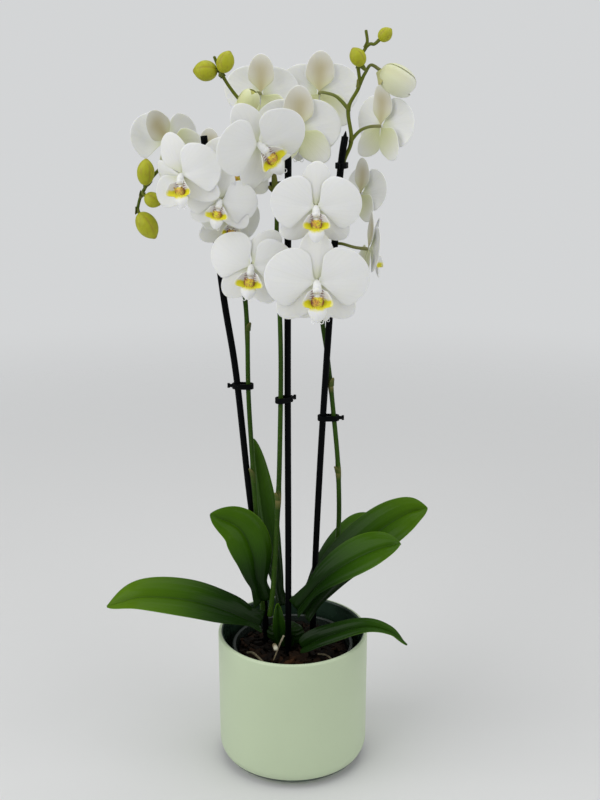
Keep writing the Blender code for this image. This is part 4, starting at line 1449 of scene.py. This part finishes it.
class ORCHID_OT_opening_buds(bpy.types.Operator):
    """Wrap the two opening buds in overlapping sepals"""

    bl_idname = "orchid.opening_buds"
    bl_label = "Opening Buds"

    def execute(self, context):
        stems = context.scene.orchid_stems
        flowers = context.scene.orchid_flowers
        for name, (paleness, foot, reach) in OPENING_BUD_TINTS.items():
            skins = (bud_finish(stems, f"{name}_skin", paleness),
                     petal_finish(flowers, f"{name}_sepal", foot, 0.25, reach))
            self.bud(name, OPENING_BUDS[name], skins)
        return {"FINISHED"}

    def bud(self, name, spec, skins):
        centre, long_radius, short_radius, direction = place(spec[2]), spec[3] * MM, spec[4] * MM, spec[5]
        turn = Vector(direction).to_track_quat("Z", "Y").to_matrix()
        core = new_bmesh()
        add_egg(core, centre, 0.93 * long_radius, 0.88 * short_radius, direction, None, 36, 24)
        shells = new_bmesh()
        for index in range(3):
            start = math.radians(35 + 120 * index)

            def surface(x, y, start=start):
                along = (y + 1) / 2
                lift = 0.91 + 0.09 * ease((x + 1) / 2) + 0.09 * max(along - 0.62, 0.0)
                polar = math.pi * (0.5 - (0.42 if y > 0 else 0.47) * y)
                angle = start + x * math.radians(88)
                bulge = math.sin(polar) ** 0.85
                crease = 1 - 0.03 * math.exp(-(x / 0.12) ** 2)
                local = Vector((
                    short_radius * lift * crease * bulge * math.cos(angle),
                    short_radius * lift * crease * bulge * math.sin(angle),
                    long_radius * (0.96 + 0.04 * lift) * math.cos(polar),
                ))
                return centre + turn @ local, ((x + 1) / 2, along), 0.0

            add_sheet(shells, 16, 22, surface, 1)
        foot = centre - turn @ Vector((0.0, 0.0, 0.95 * long_radius))
        add_bract(shells, foot, Vector((0.35, -0.35, -0.9)), Vector((-0.8, -0.6, 0.0)), 0.75 * long_radius,
                  0.36 * short_radius)
        core.from_mesh(thickened(shells, f"{name}_shells", BRACT_THICKNESS))
        finished_piece(f"{name}_sepals", core, skins, (name,), 1)


def add_tepal(bm, span, length, half_width, angle, lean, layer, shape, draw, material, columns=12, rows=14):
    """One petal or sepal in the XZ plane, from the flower's centre outwards.

    shape is (how far it domes forward, how far its tip goes back, how far its
    margins curl back, how much it ruffles, depth of its crease).
    """
    dome, sweep, curl, ruffle, crease = shape
    outward = Vector((math.cos(angle) * math.cos(lean), math.sin(lean), math.sin(angle) * math.cos(lean)))
    sideways = Vector((-math.sin(angle), 0.0, math.cos(angle)))
    backward = Vector((-math.cos(angle) * math.sin(lean), math.cos(lean), -math.sin(angle) * math.sin(lean)))
    phase = draw.uniform(0.0, math.tau)
    skew = draw.uniform(-0.03, 0.03)

    def surface(x, y):
        along = ((y + 1) / 2) ** 1.10
        reach = 0.0006 + (length - 0.0006) * along
        upper = max(0.0, x * (1.0 if math.cos(angle) > 0 else -1.0)) if material == PETAL_SLOT else 0.5
        claw = 0.16 + 0.84 * ease(along / (0.46 - 0.24 * ease(upper)))
        side = x * half_width * claw * (1.10 - 0.12 * abs(y)) + skew * length * along**2
        turn = math.atan2(x, y + 1.15)
        rim = x * x + y * y
        wave = math.sin(3.0 * turn + phase) + 0.5 * math.sin(6.0 * turn + 2.1 * phase)
        depth = layer
        depth -= dome * length * math.sin(math.pi * min(along, 1.0)) * (1 - 0.6 * x * x)
        depth += sweep * length * along**2
        depth += curl * length * x * x * ease(along / 0.5)
        depth += ruffle * length * wave * rim**1.5
        depth += crease * length * math.exp(-(side / (0.045 * span)) ** 2) * (1 - along)
        fan = math.atan2(side, reach + 0.12 * length) / 1.6
        spot = outward * reach + sideways * side + backward * (depth - layer) + Vector((0.0, layer, 0.0))
        return spot, (0.5 + 0.5 * fan, along), 0.0

    add_sheet(bm, columns, rows, surface, material)


class ORCHID_OT_flowers(bpy.types.Operator):
    """Open the seventeen white flowers, each with its column and lip"""

    bl_idname = "orchid.flowers"
    bl_label = "Flowers"

    def execute(self, context):
        flowers = context.scene.orchid_flowers
        column = column_finish(flowers)
        skins = [petal_finish(flowers, *tints) for tints in PETAL_TINTS]
        petals = (*skins[:COLUMN_SLOT], column, *skins[COLUMN_SLOT:])
        lips = (side_lobe_finish(flowers), front_lobe_finish(flowers), callus_finish(flowers), column)
        for index, (name, spec) in enumerate(FLOWERS.items()):
            draw = random.Random(100 + index)
            matrix = flower_matrix(spec)
            span = spec[6] * MM
            self.perianth(name, span, matrix, flowers.thickness, petals, draw)
            self.lip(name, span, matrix, flowers.thickness, lips, draw)
        return {"FINISHED"}

    def perianth(self, name, span, matrix, thickness, materials, draw):
        bm = new_bmesh()
        right_rise, right_lean, left_rise, left_lean, spread, top_turn = (
            math.radians(value) for value in PETAL_SET.get(name, (0, 0, 0, 0, 0, 0)))
        drop = LATERAL_DROP - spread
        sepals = ((math.pi / 2 + top_turn, 0.045, TOP_SEPAL_SLOT), (math.pi + drop, 0.015, SIDE_SEPAL_SLOT),
                  (-drop, 0.015, SIDE_SEPAL_SLOT))
        for angle, dome, skin in sepals:
            angle += math.radians(draw.uniform(-3.0, 3.0))
            shape = (dome + draw.uniform(-0.01, 0.015), 0.06, draw.uniform(-0.05, 0.04), 0.008, -0.012)
            add_tepal(bm, span, SEPAL_LENGTH * span, SEPAL_HALF_WIDTH * span, angle, 0.0, 0.0018, shape, draw,
                      skin, 8, 12)
        petals = ((1, -0.0016, right_rise, right_lean), (-1, -0.0008, left_rise, left_lean))
        for side, layer, rise, lean in petals:
            rise += PETAL_RISE + math.radians(draw.uniform(-2.0, 2.0))
            angle = rise if side > 0 else math.pi - rise
            shape = (draw.uniform(0.045, 0.070), 0.02, draw.uniform(0.01, 0.04), 0.009, 0.03)
            add_tepal(bm, span, PETAL_LENGTH * span, PETAL_HALF_WIDTH * span, angle, lean, layer, shape, draw,
                      PETAL_SLOT)
        outwards(bm)
        facing_front(bm)
        mesh = thickened(bm, f"{name}_tepals", thickness, 1)
        bm = new_bmesh()
        bm.from_mesh(mesh)

        def hood(x, y, z):
            belly = 1 + 0.10 * math.sin(z * 3.0) - (0.18 * max(z, 0.0))
            return Vector((x * belly, y * belly, z)), ease((-y - 0.2) / 0.8) * 0.35

        def cap(x, y, z):
            groove = 0.10 * math.exp(-(x / 0.18) ** 2) if z > 0 else 0.0
            return Vector((x, y, z * (1 - groove))), 0.0

        tilt = Vector((0.0, -1.0, -0.75))
        add_egg(bm, Vector((0.0, -0.040, -0.022)) * span, 0.068 * span, 0.040 * span, tilt, hood, 20, 14,
                COLUMN_SLOT)
        add_egg(bm, Vector((0.0, -0.082, -0.054)) * span, 0.030 * span, 0.034 * span, tilt, cap, 20, 14,
                COLUMN_SLOT)
        for side in (-1, 1):
            add_egg(bm, Vector((side * 0.030, -0.066, -0.050)) * span, 0.040 * span, 0.013 * span, tilt, None,
                    12, 8, COLUMN_SLOT)
        bmesh.ops.transform(bm, matrix=matrix, verts=bm.verts)
        finished_piece(f"{name}_petals", bm, materials, (name,), 1)

    def lip(self, name, span, matrix, thickness, materials, draw):
        bm = new_bmesh()
        spread = draw.uniform(0.94, 1.06)
        for side in (-1, 1):

            def lobe(x, y, side=side):
                out = (x + 1) / 2
                rise = (y + 1) / 2
                base = Vector((0.006, -0.132, -0.212)).lerp(Vector((0.040, -0.046, -0.050)), rise)
                away = Vector((0.172 * spread, -0.018, 0.022)).lerp(Vector((0.072, -0.080, -0.016)), rise)
                away *= 0.80 + 0.20 * math.sin(math.pi * (0.25 + 0.62 * rise)) - 0.10 * (2 * rise - 1) ** 4
                curl = Vector((-0.012, -0.034, 0.020)) * out**2
                hollow = Vector((0.0, 0.026, -0.004)) * math.sin(math.pi * out) * math.sin(math.pi * rise)
                spot = (base + away * out + curl + hollow) * span
                spot.x *= side
                return spot, (out, rise), 0.0

            add_sheet(bm, 10, 10, lobe, 0, rounded=False)

        def front(x, y):
            along = (y + 1) / 2
            half = 0.086 * (1.22 - 0.50 * along)
            spot = Vector((0.0, -0.130, -0.186)).lerp(Vector((0.0, -0.160, -0.330)), along)
            hollow = 0.030 * x * x - 0.022 * math.sin(math.pi * along) - 0.010 * (1 - abs(x))
            spot += Vector((x * half, hollow, 0.0))
            spot.z += 0.012 * x * x
            return spot * span, ((x + 1) / 2, along), 0.0

        add_sheet(bm, 10, 12, front, 1)
        facing_front(bm)
        mesh = thickened(bm, f"{name}_lobes", thickness)
        bm = new_bmesh()
        bm.from_mesh(mesh)

        def horn(x, y, z):
            return Vector((x, y, z)), 0.75 * ease(z)

        def saddle(x, y, z):
            dent = 0.22 * math.exp(-(x / 0.30) ** 2) * max(z, 0.0)
            return Vector((x, y, z - dent)), ease((abs(x) - 0.50) / 0.4) * 0.9

        add_egg(bm, Vector((0.0, -0.122, -0.150)) * span, 0.056 * span, 0.062 * span, (0.0, 0.0, 1.0), saddle,
                24, 14, 2, flat=0.50)
        for side in (-1, 1):
            add_egg(bm, Vector((side * 0.036, -0.142, -0.118)) * span, 0.034 * span, 0.013 * span,
                    (side * 0.5, -0.4, 1.0), horn, 12, 8, 2)
            way = [Vector(spot) * span for spot in (
                (side * 0.016, -0.160, -0.320), (side * 0.030, -0.174, -0.338), (side * 0.050, -0.178, -0.330),
                (side * 0.056, -0.166, -0.312), (side * 0.046, -0.156, -0.304))]
            way = smooth_path(way, 3)
            last = len(way) - 1
            radii = [0.0065 * span * (1 - 0.8 * index / last) for index in range(last + 1)]
            add_tube(bm, way, radii, 6, None, 3)
        add_egg(bm, Vector((0.0, -0.070, -0.110)) * span, 0.070 * span, 0.030 * span, (0.0, -0.75, -1.0), None,
                16, 12, 3)
        bmesh.ops.transform(bm, matrix=matrix, verts=bm.verts)
        finished_piece(f"{name}_lip_lobes", bm, materials,
                       (f"{name}_lip",), 1)


class ORCHID_OT_stage(bpy.types.Operator):
    """Lay the pale floor, light it softly and set up the camera"""

    bl_idname = "orchid.stage"
    bl_label = "Stage"

    def execute(self, context):
        stage = context.scene.orchid_stage
        bm = bmesh.new()
        bmesh.ops.create_grid(bm, x_segments=8, y_segments=8, size=FLOOR_REACH)
        floor = bpy.data.objects.new("floor", mesh_from(bm, "floor"))
        floor.data.materials.append(floor_finish(stage))
        context.scene.collection.objects.link(floor)

        world = bpy.data.worlds.new("soft_studio")
        world.use_nodes = True
        nodes, links = world.node_tree.nodes, world.node_tree.links
        backdrop = nodes["Background"]
        ambient = nodes.new("ShaderNodeBackground")
        seen = nodes.new("ShaderNodeMixShader")
        for shade, strength in ((backdrop, 1.0), (ambient, stage.ambient)):
            shade.inputs["Color"].default_value = (*stage.sky, 1.0)
            shade.inputs["Strength"].default_value = strength
        links.new(nodes.new("ShaderNodeLightPath").outputs["Is Camera Ray"], seen.inputs[0])
        links.new(ambient.outputs[0], seen.inputs[1])
        links.new(backdrop.outputs[0], seen.inputs[2])
        links.new(seen.outputs[0], nodes["World Output"].inputs["Surface"])
        context.scene.world = world

        for name, (spot, size) in LIGHTS.items():
            lamp = bpy.data.lights.new(name, "AREA")
            lamp.energy = getattr(stage, f"{name}_power")
            lamp.size = size
            item = bpy.data.objects.new(name, lamp)
            context.scene.collection.objects.link(item)
            item.location = spot
            item.rotation_euler = (Vector(LIGHTS_AIM) - Vector(spot)).to_track_quat("-Z", "Y").to_euler()

        lens = bpy.data.cameras.new("camera")
        lens.lens = CAMERA_LENS
        lens.sensor_width = CAMERA_SENSOR
        camera = bpy.data.objects.new("camera", lens)
        context.scene.collection.objects.link(camera)
        camera.location = CAMERA_PLACE
        camera.rotation_euler = (CAMERA_TILT, 0.0, 0.0)
        context.scene.camera = camera
        context.scene.view_settings.view_transform = "Standard"
        return {"FINISHED"}


OPERATORS = (
    ORCHID_OT_cover_pot, ORCHID_OT_nursery_pot, ORCHID_OT_bark, ORCHID_OT_crown, ORCHID_OT_leaves,
    ORCHID_OT_stakes, ORCHID_OT_clips, ORCHID_OT_stems, ORCHID_OT_opening_buds, ORCHID_OT_flowers,
    ORCHID_OT_stage,
)


class ORCHID_PT_panel(bpy.types.Panel):
    """The orchid's pieces, with their sizes and colours"""

    bl_idname = "ORCHID_PT_panel"
    bl_label = "Potted Moth Orchid"
    bl_space_type = "VIEW_3D"
    bl_region_type = "UI"
    bl_category = "Orchid"

    def draw(self, context):
        column = self.layout.column(align=True)
        for operator in OPERATORS:
            column.operator(operator.bl_idname)
        for group_name, group in SETTINGS.items():
            box = self.layout.box()
            for key in group.__annotations__:
                box.prop(getattr(context.scene, group_name), key)


def register():
    for item in (*SETTINGS.values(), *OPERATORS, ORCHID_PT_panel):
        bpy.utils.register_class(item)
    for name, group in SETTINGS.items():
        setattr(bpy.types.Scene, name, PointerProperty(type=group))


def unregister():
    for name in SETTINGS:
        delattr(bpy.types.Scene, name)
    for item in reversed((*SETTINGS.values(), *OPERATORS, ORCHID_PT_panel)):
        bpy.utils.unregister_class(item)


def main():
    register()
    for operator in OPERATORS:
        group, name = operator.bl_idname.split(".")
        getattr(getattr(bpy.ops, group), name)()


if __name__ == "__main__":
    main()
